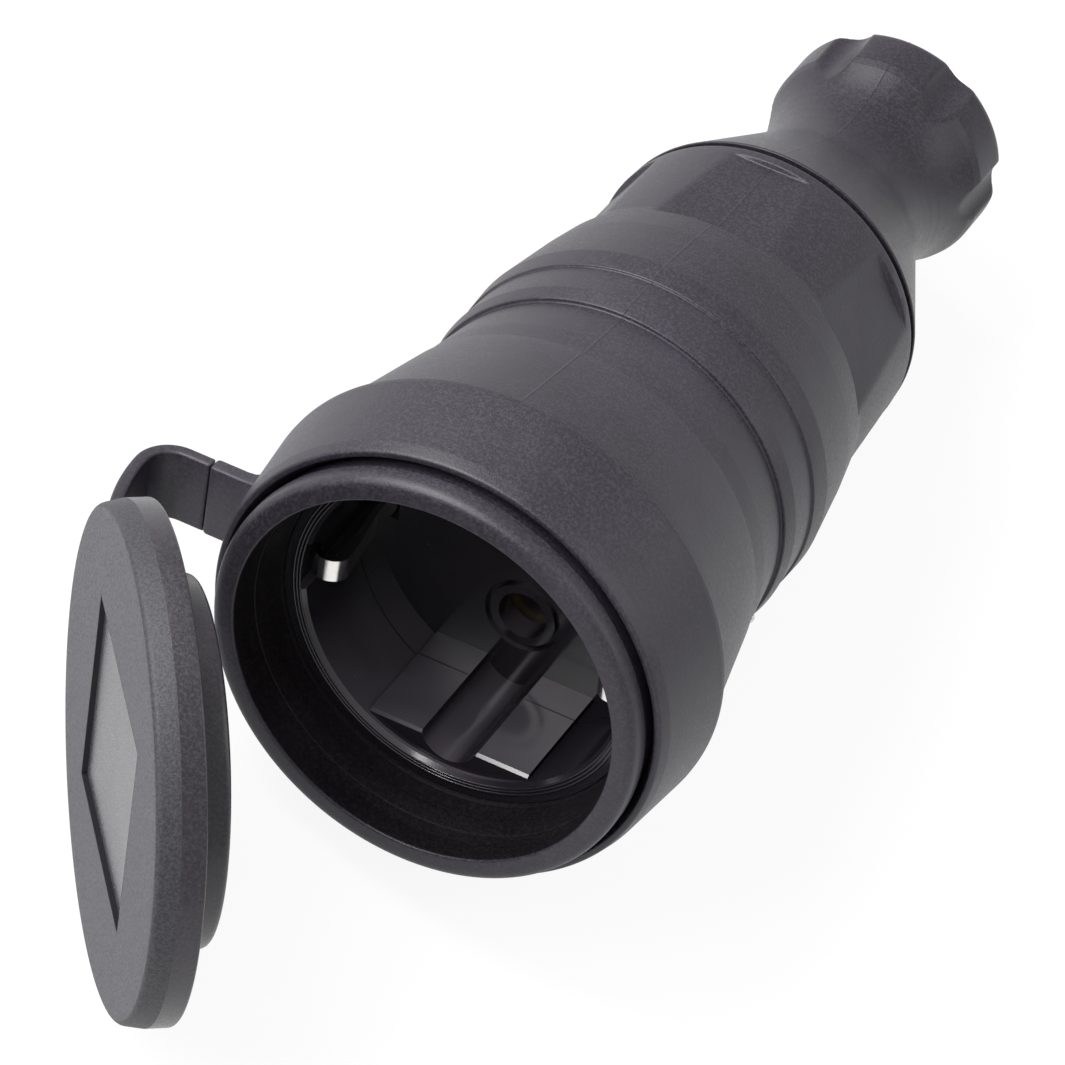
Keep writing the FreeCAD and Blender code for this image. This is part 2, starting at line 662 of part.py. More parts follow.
def contact_insert():
    """The hard insert: a deep round recess with key blocks, pin entries and earth slots."""
    body, sketch = turned("insert_cup", [
        ("0", f"-{FLOOR}"),
        ("dim.recess_radius", f"-{FLOOR}"),
        ("dim.recess_radius", "-dim.insert_front_depth - dim.recess_chamfer"),
        ("dim.recess_radius + dim.recess_chamfer", "-dim.insert_front_depth"),
        (FLANGE_R, "-dim.insert_front_depth"),
        (FLANGE_R, f"-{FLANGE_BACK}"),
        (INSERT_R, f"-{FLANGE_BACK}"),
        (INSERT_R, f"-{FLOOR_BACK}"),
        ("0", f"-{FLOOR_BACK}"),
    ])
    key_length = "(dim.recess_depth - dim.key_front_gap)"
    keys = []
    cutters = []
    for name, sign in (("upper", 1), ("lower", -1)):
        low = "dim.key_flat" if sign > 0 else "-dim.key_flat - dim.recess_radius"
        slab = block(f"{name}_key_slab", "dim.key_width", "dim.recess_radius", key_length,
                     x="-dim.key_width / 2", y=low, z=f"-{FLOOR}")
        limit = cylinder(f"{name}_key_limit", "dim.recess_radius + dim.insert_wall / 2", key_length,
                         z=f"-{FLOOR}")
        edge = block(f"{name}_key_edge", "dim.key_width", "sqrt(2) * dim.key_chamfer",
                     "sqrt(2) * dim.key_chamfer", x="-dim.key_width / 2",
                     y=f"{sign} * dim.key_flat", z=f"-{FLOOR} + {key_length} - dim.key_chamfer",
                     axis=AXIS_X, angle=45)
        keys.append(cut(f"{name}_key", common(f"{name}_key_blank", slab, limit), [edge]))
        cutters.append(cylinder(f"{name}_channel", "dim.key_channel_radius", key_length,
                                y=f"{sign} * dim.key_channel_centre", z=f"-{FLOOR}"))
        centre = f"{sign} * dim.pin_spacing / 2"
        cutters.append(cylinder(f"{name}_entry", "dim.entry_radius", "dim.floor_thickness",
                                y=centre, z=f"-{FLOOR_BACK}"))
        moat = cylinder(f"{name}_moat_outer", f"{RING_R} + dim.entry_moat_width",
                        "dim.entry_moat_depth", y=centre, z=f"-{FLOOR} - dim.entry_moat_depth")
        ring = cylinder(f"{name}_moat_inner", RING_R, "dim.entry_moat_depth",
                        y=centre, z=f"-{FLOOR} - dim.entry_moat_depth")
        cutters.append(cut(f"{name}_moat", moat, [ring]))
    inner = "(dim.recess_radius - dim.clip_wall_inset - dim.strip_thickness - dim.groove_gap)"
    outer = "(dim.recess_radius + dim.clip_slot_reach)"
    for name, low in (("right", inner), ("left", f"-{outer}")):
        cutters.append(block(f"{name}_clip_slot", f"{outer} - {inner}", "dim.clip_slot_width",
                             "dim.recess_depth + dim.floor_thickness", x=low,
                             y="-dim.clip_slot_width / 2", z=f"-{FLOOR_BACK}"))
    for name, x, y in carrier_screw_places():
        cutters.append(cylinder(f"{name}_insert_hole", "dim.screw_radius + dim.screw_clearance",
                                "dim.carrier_screw_bite + dim.screw_clearance",
                                x=x, y=y, z=f"-{FLOOR_BACK}"))
    return cut("contact_insert", fuse("insert_moulding", [body] + keys), cutters)


def carrier_screw_places():
    """The two screws that hold the carrier to the insert: name, across and up."""
    circle = f"({CARRIER_R} - dim.carrier_screw_inset)"
    across = f"{circle} * cos(dim.carrier_screw_angle)"
    up = f"{circle} * sin(dim.carrier_screw_angle)"
    return [("upper_carrier_screw", across, up), ("lower_carrier_screw", f"-{across}", f"-{up}")]


def contact_carrier():
    """The hard carrier behind the insert, bored for the contacts and grooved for the earth strip."""
    disc = cylinder("carrier_disc", CARRIER_R, "dim.carrier_length", z=f"-{CARRIER_BACK}")
    barriers = [block(f"{name}_barrier", f"2 * {BARRIER_REACH}", "dim.barrier_thickness",
                      "dim.barrier_length", x=f"-{BARRIER_REACH}", y=low,
                      z=f"-{CARRIER_BACK} - dim.barrier_length")
                for name, low in (("upper", "dim.barrier_offset"),
                                  ("lower", "-dim.barrier_offset - dim.barrier_thickness"))]
    cutters = []
    pocket = "(dim.spring_offset + dim.spring_length + dim.spring_pocket_gap)"
    for name, sign in (("upper", 1), ("lower", -1)):
        centre = f"{sign} * dim.pin_spacing / 2"
        cutters.append(cylinder(f"{name}_carrier_bore", f"{TULIP_R} + dim.tulip_gap",
                                "dim.carrier_length", y=centre, z=f"-{CARRIER_BACK}"))
        cutters.append(cylinder(f"{name}_spring_pocket",
                                f"{TULIP_R} + dim.spring_thickness + dim.spring_pocket_gap", pocket,
                                y=centre, z=f"-{CARRIER_FRONT} - {pocket}"))
    groove = "(dim.strip_width + 2 * dim.groove_gap)"
    cutters.append(block("earth_groove", f"2 * {CARRIER_R}", groove, "dim.strip_thickness",
                         x=f"-{CARRIER_R}", y=f"-{groove} / 2",
                         z=f"-{CARRIER_FRONT} - dim.strip_thickness"))
    cutters.append(block("earth_tab_slot", "dim.strip_thickness + 2 * dim.groove_gap", groove,
                         "dim.carrier_length",
                         x=f"{EARTH_REACH} - dim.strip_thickness / 2 - dim.groove_gap",
                         y=f"-{groove} / 2", z=f"-{CARRIER_BACK}"))
    for name, x, y in carrier_screw_places():
        cutters.append(cylinder(f"{name}_carrier_hole", "dim.screw_radius + dim.screw_clearance",
                                "dim.carrier_length", x=x, y=y, z=f"-{CARRIER_BACK}"))
    cutters.append(insert_pin_rod("carrier_pin_hole", "dim.insert_pin_clearance"))
    return cut("contact_carrier", fuse("carrier_moulding", [disc] + barriers), cutters)


def pin_contact(label, sign):
    """A slit brass pin contact with its screw terminal, at one end of the pin line."""
    centre = f"{sign} * dim.pin_spacing / 2"
    front = f"({FLOOR_BACK} + dim.tulip_start)"
    tube_length = f"({CARRIER_BACK} - {front})"
    tube = cylinder(f"{label}_tube", TULIP_R, tube_length, y=centre, z=f"-{CARRIER_BACK}")
    terminal = block(f"{label}_block", "dim.terminal_width", "dim.terminal_height",
                     "dim.terminal_length", x="-dim.terminal_width / 2",
                     y=f"{centre} - dim.terminal_height / 2", z=f"-{TERMINAL_BACK}")
    bore = cylinder(f"{label}_bore", "dim.pin_bore_radius", tube_length, y=centre,
                    z=f"-{CARRIER_BACK}")
    slit = block(f"{label}_slit", f"3 * {TULIP_R}", "dim.slit_width", "dim.slit_length",
                 x=f"-1.5 * {TULIP_R}", y=f"{centre} - dim.slit_width / 2",
                 z=f"-{front} - dim.slit_length")
    wire = cylinder(f"{label}_wire_hole", "dim.wire_hole_radius",
                    "dim.terminal_length - dim.wire_hole_end", y=centre, z=f"-{TERMINAL_BACK}")
    drill = cylinder(f"{label}_screw_hole", "dim.screw_radius + dim.screw_clearance",
                     "dim.terminal_height / 2", y=centre,
                     z=f"-{CARRIER_BACK} - dim.terminal_length / 2", axis=AXIS_X, angle=-90 * sign)
    return cut(label, fuse(f"{label}_blank", [tube, terminal]), [bore, slit, wire, drill])


def clamp_spring(label, sign):
    """An open steel ring that squeezes a slit pin contact onto its pin."""
    centre = f"{sign} * dim.pin_spacing / 2"
    start = f"-{CARRIER_FRONT} - dim.spring_offset - dim.spring_length"
    outer = cylinder(f"{label}_outer", f"{TULIP_R} + dim.spring_thickness", "dim.spring_length",
                     y=centre, z=start)
    inner = cylinder(f"{label}_inner", TULIP_R, "dim.spring_length", y=centre, z=start)
    opening = block(f"{label}_gap", f"2 * {TULIP_R}", "dim.spring_gap_width", "dim.spring_length",
                    y=f"{centre} - dim.spring_gap_width / 2", z=start)
    return cut(label, outer, [inner, opening])


def slotted_screw(label, shank):
    """A cheese-head screw whose shank runs along +z from zero, with its head behind."""
    rod = cylinder(f"{label}_shank", "dim.screw_radius", shank)
    head = cylinder(f"{label}_head", "dim.screw_head_radius", "dim.screw_head_height",
                    z="-dim.screw_head_height")
    slot = block(f"{label}_slot", "4 * dim.screw_head_radius", "dim.screw_slot_width",
                 "dim.screw_slot_depth", x="-2 * dim.screw_head_radius",
                 y="-dim.screw_slot_width / 2", z="-dim.screw_head_height")
    return cut(label, fuse(f"{label}_blank", [rod, head]), [slot])


def terminal_screw_place(across, up, half_block, bite, turn):
    """The place of a terminal screw that bites this deep into a block, from outside."""
    depth = value(f"{CARRIER_BACK} + dim.terminal_length / 2")
    inward = turn.multVec(AXIS_Z)
    centre = FreeCAD.Vector(across, up, -depth)
    reach = half_block + max(value("dim.screw_length") - bite, 0.2)
    return FreeCAD.Placement(centre - inward * reach, turn)


def earth_bracket():
    """The bent earth strip: two springy side clips, the bow between them and a tab to the rear."""
    body = doc.addObject("PartDesign::Body", "earth_bow")
    middle = f"({CARRIER_FRONT} + dim.strip_thickness / 2)"
    wall = "(dim.recess_radius - dim.clip_wall_inset - dim.strip_thickness / 2)"
    line = [
        ("0", f"-{middle}"),
        (wall, f"-{middle}"),
        (wall, "-dim.insert_front_depth - dim.clip_root_depth"),
        ("dim.recess_radius - dim.clip_inner_inset", "-dim.insert_front_depth - dim.clip_knee_depth"),
        ("dim.recess_radius - dim.clip_outer_inset", "-dim.insert_front_depth - dim.clip_knee_depth"),
    ]
    crest = ("dim.recess_radius - (dim.clip_inner_inset + dim.clip_outer_inset) / 2",
             "-dim.insert_front_depth - dim.clip_front_depth")
    path = add_sketch(body, "earth_bow_line", "XZ_Plane")
    corners = [FreeCAD.Vector(value(across), value(up), 0) for across, up in line]
    for first, last in zip(corners[:-2], corners[1:-1]):
        path.addGeometry(Part.LineSegment(first, last), False)
    hook = path.addGeometry(Part.Arc(
        corners[-2], FreeCAD.Vector(value(crest[0]), value(crest[1]), 0), corners[-1]), False)
    begins = (path.getPoint(hook, 1) - corners[-2]).Length < 1e-6
    start, end = (1, 2) if begins else (2, 1)
    for i in range(hook):
        path.addConstraint(Sketcher.Constraint("Coincident", i, 2, i + 1,
                                               start if i + 1 == hook else 1))
        pin_point(path, i, 1, *line[i])
    pin_point(path, hook, start, *line[-2])
    pin_point(path, hook, end, *line[-1])
    top = path.addGeometry(Part.Point(FreeCAD.Vector(value(crest[0]), value(crest[1]), 0)), True)
    pin_point(path, top, 1, *crest)
    path.addConstraint(Sketcher.Constraint("PointOnObject", top, 1, hook))
    section = add_sketch(body, "earth_bow_section", "YZ_Plane")
    draw_outline(section, [
        ("dim.strip_width / 2", f"-{middle} - dim.strip_thickness / 2"),
        ("dim.strip_width / 2", f"-{middle} + dim.strip_thickness / 2"),
        ("-dim.strip_width / 2", f"-{middle} + dim.strip_thickness / 2"),
        ("-dim.strip_width / 2", f"-{middle} - dim.strip_thickness / 2"),
    ])
    doc.recompute()
    sweep = body.newObject("PartDesign::AdditivePipe", "earth_bow_strip")
    sweep.Profile = section
    sweep.Spine = (path, [f"Edge{i + 1}" for i in range(len(line) - 1)])
    sweep.Transition = "Round corner"
    body.Tip = sweep
    doc.recompute()
    mirror = body.newObject("PartDesign::Mirrored", "earth_bow_pair")
    mirror.Originals = [sweep]
    mirror.MirrorPlane = (origin_plane(body, "YZ_Plane"), [""])
    body.Tip = mirror
    doc.recompute()
    length = f"({CARRIER_BACK} - {CARRIER_FRONT} + dim.earth_tab_bite)"
    tab = block("earth_tab", "dim.strip_thickness", "dim.strip_width", length,
                x=f"{EARTH_REACH} - dim.strip_thickness / 2", y="-dim.strip_width / 2",
                z=f"-{CARRIER_FRONT} - {length}")
    return fuse("earth_bracket", [body, tab])


def earth_terminal():
    """The brass terminal block that grips the tab of the earth bracket."""
    centre = EARTH_REACH
    solid = block("earth_block", "dim.earth_block_width", "dim.earth_block_height",
                  "dim.terminal_length", x=f"{centre} - dim.earth_block_width / 2",
                  y="-dim.earth_block_height / 2", z=f"-{TERMINAL_BACK}")
    slot_length = "(dim.earth_tab_bite + dim.earth_slot_gap)"
    slot = block("earth_block_slot", "dim.strip_thickness + 2 * dim.earth_slot_gap",
                 "dim.strip_width + 2 * dim.earth_slot_gap", slot_length,
                 x=f"{centre} - dim.strip_thickness / 2 - dim.earth_slot_gap",
                 y="-dim.strip_width / 2 - dim.earth_slot_gap", z=f"-{CARRIER_BACK} - {slot_length}")
    wire = cylinder("earth_wire_hole", "dim.wire_hole_radius",
                    "dim.terminal_length - dim.earth_tab_bite", x=centre, z=f"-{TERMINAL_BACK}")
    drill = cylinder("earth_screw_hole", "dim.screw_radius + dim.screw_clearance",
                     "dim.earth_block_width / 2", x=centre,
                     z=f"-{CARRIER_BACK} - dim.terminal_length / 2", axis=AXIS_Y, angle=90)
    return cut("earth_terminal", solid, [slot, wire, drill])


def gland_sleeve():
    """The hard threaded sleeve that the housing is moulded round."""
    body, sketch = turned("gland_sleeve", [
        (GLAND_BORE_R, f"-{GLAND_START}"),
        (ANCHOR_R, f"-{GLAND_START}"),
        (ANCHOR_R, f"-{ANCHOR_END}"),
        (THREAD_R, f"-{ANCHOR_END}"),
        (THREAD_R, f"-{GLAND_END}"),
        (SOCKET_R, f"-{GLAND_END}"),
        (SOCKET_R, f"-{SEAL_START}"),
        (GLAND_BORE_R, f"-{SEAL_START}"),
    ])
    return body


def cable_seal():
    """The rubber sleeve that seals round the cable."""
    body, sketch = turned("cable_seal", [
        (SEAL_HOLE_R, f"-{SEAL_START}"),
        (f"{SOCKET_R} - dim.seal_gap", f"-{SEAL_START}"),
        (f"{SOCKET_R} - dim.seal_gap", f"-{COLLET_START}"),
        (SEAL_HOLE_R, f"-{COLLET_START}"),
    ])
    return body


def clamp_collet():
    """The slit collet that the nut squeezes onto the cable."""
    body, sketch = turned("collet_ring", [
        (COLLET_HOLE_R, f"-{COLLET_START}"),
        (f"{SOCKET_R} - dim.seal_gap", f"-{COLLET_START}"),
        (f"{SOCKET_R} - dim.seal_gap", f"-{COLLET_END} + dim.collet_nose_length"),
        (f"{SOCKET_R} - dim.seal_gap - dim.collet_nose_taper", f"-{COLLET_END}"),
        (COLLET_HOLE_R, f"-{COLLET_END}"),
    ])
    slits = [
        block("collet_slit_across", f"2 * {SOCKET_R}", "dim.collet_slit_width",
              "dim.collet_slit_length", x=f"-{SOCKET_R}", y="-dim.collet_slit_width / 2",
              z=f"-{COLLET_END}"),
        block("collet_slit_up", "dim.collet_slit_width", f"2 * {SOCKET_R}",
              "dim.collet_slit_length", x="-dim.collet_slit_width / 2", y=f"-{SOCKET_R}",
              z=f"-{COLLET_END}"),
    ]
    return cut("clamp_collet", body, slits)


def slip_washer():
    """The flat washer between the collet and the nut."""
    outer = cylinder("washer_disc", f"{SOCKET_R} - dim.washer_inset", "dim.washer_thickness",
                     z=f"-{WASHER_END}")
    inner = cylinder("washer_hole", f"{SOCKET_R} - dim.washer_wall", "dim.washer_thickness",
                     z=f"-{WASHER_END}")
    return cut("slip_washer", outer, [inner])


def gland_nut():
    """The gland nut: flange, dome, waist and a bell end with six shallow scallops."""
    pocket = f"({SOCKET_R} + dim.nut_pocket_clearance)"
    thread = f"({THREAD_R} + dim.nut_thread_clearance)"
    body, sketch = turned("gland_nut", [
        (thread, f"-{NUT_FRONT}"),
        (NUT_R, f"-{NUT_FRONT}"),
        (NUT_R, f"-{NUT_CONE}"),
        (NUT_NECK_R, f"-{NUT_NECK}"),
        (NUT_BELL_R, f"-{NUT_BELL}"),
        (NUT_RIM_R, f"-{NUT_RIM}"),
        (NUT_RIM_R, f"-{NUT_END}"),
        (f"{NUT_RIM_R} - dim.nut_mouth_wall", f"-{NUT_END}"),
        (NUT_BORE_R, f"-{NUT_SHOULDER} - dim.nut_bore_length"),
        (NUT_BORE_R, f"-{NUT_SHOULDER}"),
        (pocket, f"-{NUT_SHOULDER}"),
        (pocket, f"-{NUT_THREAD_END}"),
        (thread, f"-{NUT_THREAD_END}"),
    ], {3: (f"{NUT_NECK_R} - dim.nut_waist_drop", f"-{NUT_NECK} - dim.nut_waist_offset")})
    round_corners(body, sketch, [1], "dim.nut_front_round")
    round_corners(body, sketch, [6], "min(dim.nut_end_round; 0.48 * dim.nut_mouth_wall)")
    outline = add_sketch(body, "scallop_outline", "XY_Plane", f"-{NUT_END} + dim.scallop_length")
    height = f"({NUT_RIM_R} - dim.scallop_depth + dim.scallop_radius)"
    outline.addGeometry(Part.Circle(FreeCAD.Vector(value(height), 0, 0), FreeCAD.Vector(0, 0, 1),
                                    value("dim.scallop_radius")), False)
    pin_point(outline, 0, 3, height, "0")
    radius = outline.addConstraint(Sketcher.Constraint("Radius", 0, value("dim.scallop_radius")))
    outline.setExpression(f"Constraints[{radius}]", "dim.scallop_radius")
    doc.recompute()
    scallop = body.newObject("PartDesign::Pocket", "scallop")
    scallop.Profile = outline
    scallop.setExpression("Length", "dim.scallop_length")
    body.Tip = scallop
    doc.recompute()
    pattern_round(body, scallop, "dim.scallop_count")
    return body


def extreme(points, up):
    """The lowest reach of a cloud of points along an upward direction."""
    return min(point.dot(up) for point in points)


def halve(low, high, gap):
    """Find where a rising gap crosses zero by halving the interval."""
    for _ in range(40):
        middle = (low + high) / 2
        if gap(middle) > 0:
            high = middle
        else:
            low = middle
    return (low + high) / 2


def resting_turn(collar, nut, lid_points):
    """Turn the upright connector onto a table.

    It tips back until the collar and the nut's flange both touch, and it rolls towards the open
    lid until the lid's edge touches too.
    """
    collar_points = cloud(collar.Shape)
    nut_points = cloud(nut.Shape)

    def up(tilt, roll):
        tilt, roll = math.radians(tilt), math.radians(roll)
        return FreeCAD.Vector(math.cos(tilt) * math.sin(roll), math.cos(tilt) * math.cos(roll),
                              math.sin(tilt))

    tilt = halve(0.0, 20.0, lambda angle: extreme(collar_points, up(angle, 0.0))
                 - extreme(nut_points, up(angle, 0.0)))
    floor = extreme(collar_points, up(tilt, 0.0))
    roll = halve(0.0, 60.0, lambda angle: floor - extreme(lid_points, up(tilt, angle)))
    back = FreeCAD.Rotation(AXIS_X, 90.0 - tilt)
    return back.multiply(FreeCAD.Rotation(AXIS_Z, roll))


def cloud(shape):
    """Points all over a shape's surface."""
    points, _ = shape.tessellate(0.02)
    return points


def build():
    """Make every piece, lay them down together and write their files."""
    housing = rubber_housing()
    collar = lid_collar()
    strap = lid_strap()
    lid = sealing_lid()
    nut = gland_nut()
    pieces = [housing, collar, strap, contact_insert(), contact_carrier(),
              pin_contact("upper_pin_contact", 1), pin_contact("lower_pin_contact", -1),
              clamp_spring("upper_clamp_spring", 1), clamp_spring("lower_clamp_spring", -1),
              earth_bracket(), earth_terminal(), insert_pin(),
              gland_sleeve(), cable_seal(), clamp_collet(), slip_washer(), nut]
    pin_line = value("dim.pin_spacing / 2")
    half_block = value("dim.terminal_height / 2")
    placed = [
        ("upper_terminal_screw", terminal_screw_place(
            0.0, pin_line, half_block, half_block, FreeCAD.Rotation(AXIS_X, 90))),
        ("lower_terminal_screw", terminal_screw_place(
            0.0, -pin_line, half_block, half_block, FreeCAD.Rotation(AXIS_X, -90))),
        ("earth_terminal_screw", terminal_screw_place(
            value(EARTH_REACH), 0.0, value("dim.earth_block_width / 2"),
            value("dim.earth_block_width / 2 - dim.strip_thickness / 2 - dim.earth_slot_gap"),
            FreeCAD.Rotation(AXIS_Y, -90))),
    ]
    screws = [(slotted_screw(name, "dim.screw_length"), place) for name, place in placed]
    shank = "(dim.carrier_length + dim.carrier_gap + dim.carrier_screw_bite)"
    for name, across, up in carrier_screw_places():
        place = FreeCAD.Placement(
            FreeCAD.Vector(value(across), value(up), -value(CARRIER_BACK)), FreeCAD.Rotation())
        screws.append((slotted_screw(name, shank), place))
    doc.recompute()

    open_lid = lid_place()
    lid_points = [open_lid.multVec(point) for point in cloud(lid.Shape)]
    lying = resting_turn(collar, nut, lid_points)
    rest = FreeCAD.Placement(lying.multVec(AXIS_Z * value("dim.origin_depth")), lying)
    for piece in pieces:
        piece.Placement = rest.multiply(piece.Placement)
    lid.Placement = rest.multiply(open_lid)
    for screw, place in screws:
        screw.Placement = rest.multiply(place)
    doc.recompute()

    for item in doc.Objects:
        if "Invalid" in item.State or "Error" in item.State:
            raise RuntimeError(f"{item.Label} did not compute: {item.State}")
    for piece in pieces + [lid] + [screw for screw, _ in screws]:
        shape = piece.Shape
        if shape.isNull() or not shape.isValid() or len(shape.Solids) != 1:
            raise RuntimeError(f"{piece.Label} is not one sound solid")
        shape.exportStep(f"parts/{piece.Label}.step")
    turn = rest.Rotation
    print("mouth axis", turn.multVec(AXIS_Z), "pin line", turn.multVec(AXIS_Y))
    print("lid centre", rest.multVec(open_lid.Base))


build()
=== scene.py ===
"""Rubber inline socket connector with its lid open, on a plain pale floor.

Lengths in the piece classes are millimetres in the connector's own axes: x to the right and y up
as seen from the front, z out of the mouth. Socket turns them into the frame's metres.
"""
import json
import logging
import math
from dataclasses import dataclass, field
from enum import Enum, IntEnum
from typing import Callable, Iterable, Sequence

import bmesh
import bpy
from mathutils import Matrix, Vector


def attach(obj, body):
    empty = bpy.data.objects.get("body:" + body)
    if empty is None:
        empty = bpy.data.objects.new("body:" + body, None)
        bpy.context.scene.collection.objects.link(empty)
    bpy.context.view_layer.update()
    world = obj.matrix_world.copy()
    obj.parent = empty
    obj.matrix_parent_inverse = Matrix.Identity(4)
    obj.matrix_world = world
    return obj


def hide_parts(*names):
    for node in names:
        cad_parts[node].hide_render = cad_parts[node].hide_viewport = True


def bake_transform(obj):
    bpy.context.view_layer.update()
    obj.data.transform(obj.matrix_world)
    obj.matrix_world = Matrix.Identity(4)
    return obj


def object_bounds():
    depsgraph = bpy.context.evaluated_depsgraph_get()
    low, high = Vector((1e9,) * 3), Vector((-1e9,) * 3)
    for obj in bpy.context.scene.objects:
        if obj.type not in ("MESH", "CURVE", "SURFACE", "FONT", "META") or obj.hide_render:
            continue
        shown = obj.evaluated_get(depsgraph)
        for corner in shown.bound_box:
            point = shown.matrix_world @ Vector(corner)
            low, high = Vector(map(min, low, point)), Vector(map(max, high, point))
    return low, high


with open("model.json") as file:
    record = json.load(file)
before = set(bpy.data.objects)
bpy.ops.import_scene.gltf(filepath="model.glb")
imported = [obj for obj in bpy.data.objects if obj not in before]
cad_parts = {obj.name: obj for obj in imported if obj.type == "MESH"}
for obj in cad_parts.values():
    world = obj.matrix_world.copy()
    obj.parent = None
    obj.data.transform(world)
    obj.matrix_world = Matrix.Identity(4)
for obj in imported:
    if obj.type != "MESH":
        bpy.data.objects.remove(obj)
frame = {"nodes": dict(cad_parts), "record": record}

CAD_BOX = [list(corner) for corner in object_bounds()]
LOG = logging.getLogger("connector")
MM = 0.001
ROUND_STEPS = 288
SIXTH = 60.0
Profile = list[tuple[float, float]]


class Paint(Enum):
    """The record's material slots."""

    RUBBER = "rubber"
    NUT = "nut_rubber"
    SEAL = "seal_rubber"
    INSERT = "insert_plastic"
    CARRIER = "carrier_plastic"
    BRASS = "brass"
    SPRING = "spring_steel"
    STRIP = "plated_strip"
    SCREW = "screw_steel"


class LidSlot(IntEnum):
    """The lid's material slots, in their order on its mesh."""

    FACE = 0
    RIM = 1
    SHADED_WALL = 2
    PANEL = 3
    BEVEL = 4


# Shader maths.


@dataclass(frozen=True)
class Sock:
    """A number socket of a node tree, with arithmetic that adds Math nodes."""

    tree: "Tree"
    port: bpy.types.NodeSocket

    def _math(self, operation: str, other: "Sock | float", swap: bool = False) -> "Sock":
        """Add one Math node.

        Args:
            operation: The Math node's operation.
            other: The second number or socket.
            swap: Whether this socket goes second.

        Returns:
            The node's output.
        """
        values = {0: other, 1: self} if swap else {0: self, 1: other}
        node = self.tree.node("ShaderNodeMath", {"operation": operation}, values)
        return Sock(self.tree, node.outputs[0])

    def __add__(self, other: "Sock | float") -> "Sock":
        return self._math("ADD", other)

    __radd__ = __add__

    def __sub__(self, other: "Sock | float") -> "Sock":
        return self._math("SUBTRACT", other)

    def __rsub__(self, other: float) -> "Sock":
        return self._math("SUBTRACT", other, swap=True)

    def __mul__(self, other: "Sock | float") -> "Sock":
        return self._math("MULTIPLY", other)

    __rmul__ = __mul__

    def at_least(self, other: "Sock | float") -> "Sock":
        """Return the larger of this and another number."""
        return self._math("MAXIMUM", other)

    def at_most(self, other: "Sock | float") -> "Sock":
        """Return the smaller of this and another number."""
        return self._math("MINIMUM", other)

    def spread(self, low: float, high: float, start: float = 0.0, end: float = 1.0) -> "Sock":
        """Map a stretch of this socket smoothly onto another.

        Args:
            low: Where the stretch begins.
            high: Where the stretch ends.
            start: The result at the low end.
            end: The result at the high end.

        Returns:
            The mapped and clamped number.
        """
        node = self.tree.node("ShaderNodeMapRange", {"interpolation_type": "SMOOTHSTEP"},
                              {"Value": self, "From Min": low, "From Max": high,
                               "To Min": start, "To Max": end})
        return Sock(self.tree, node.outputs["Result"])


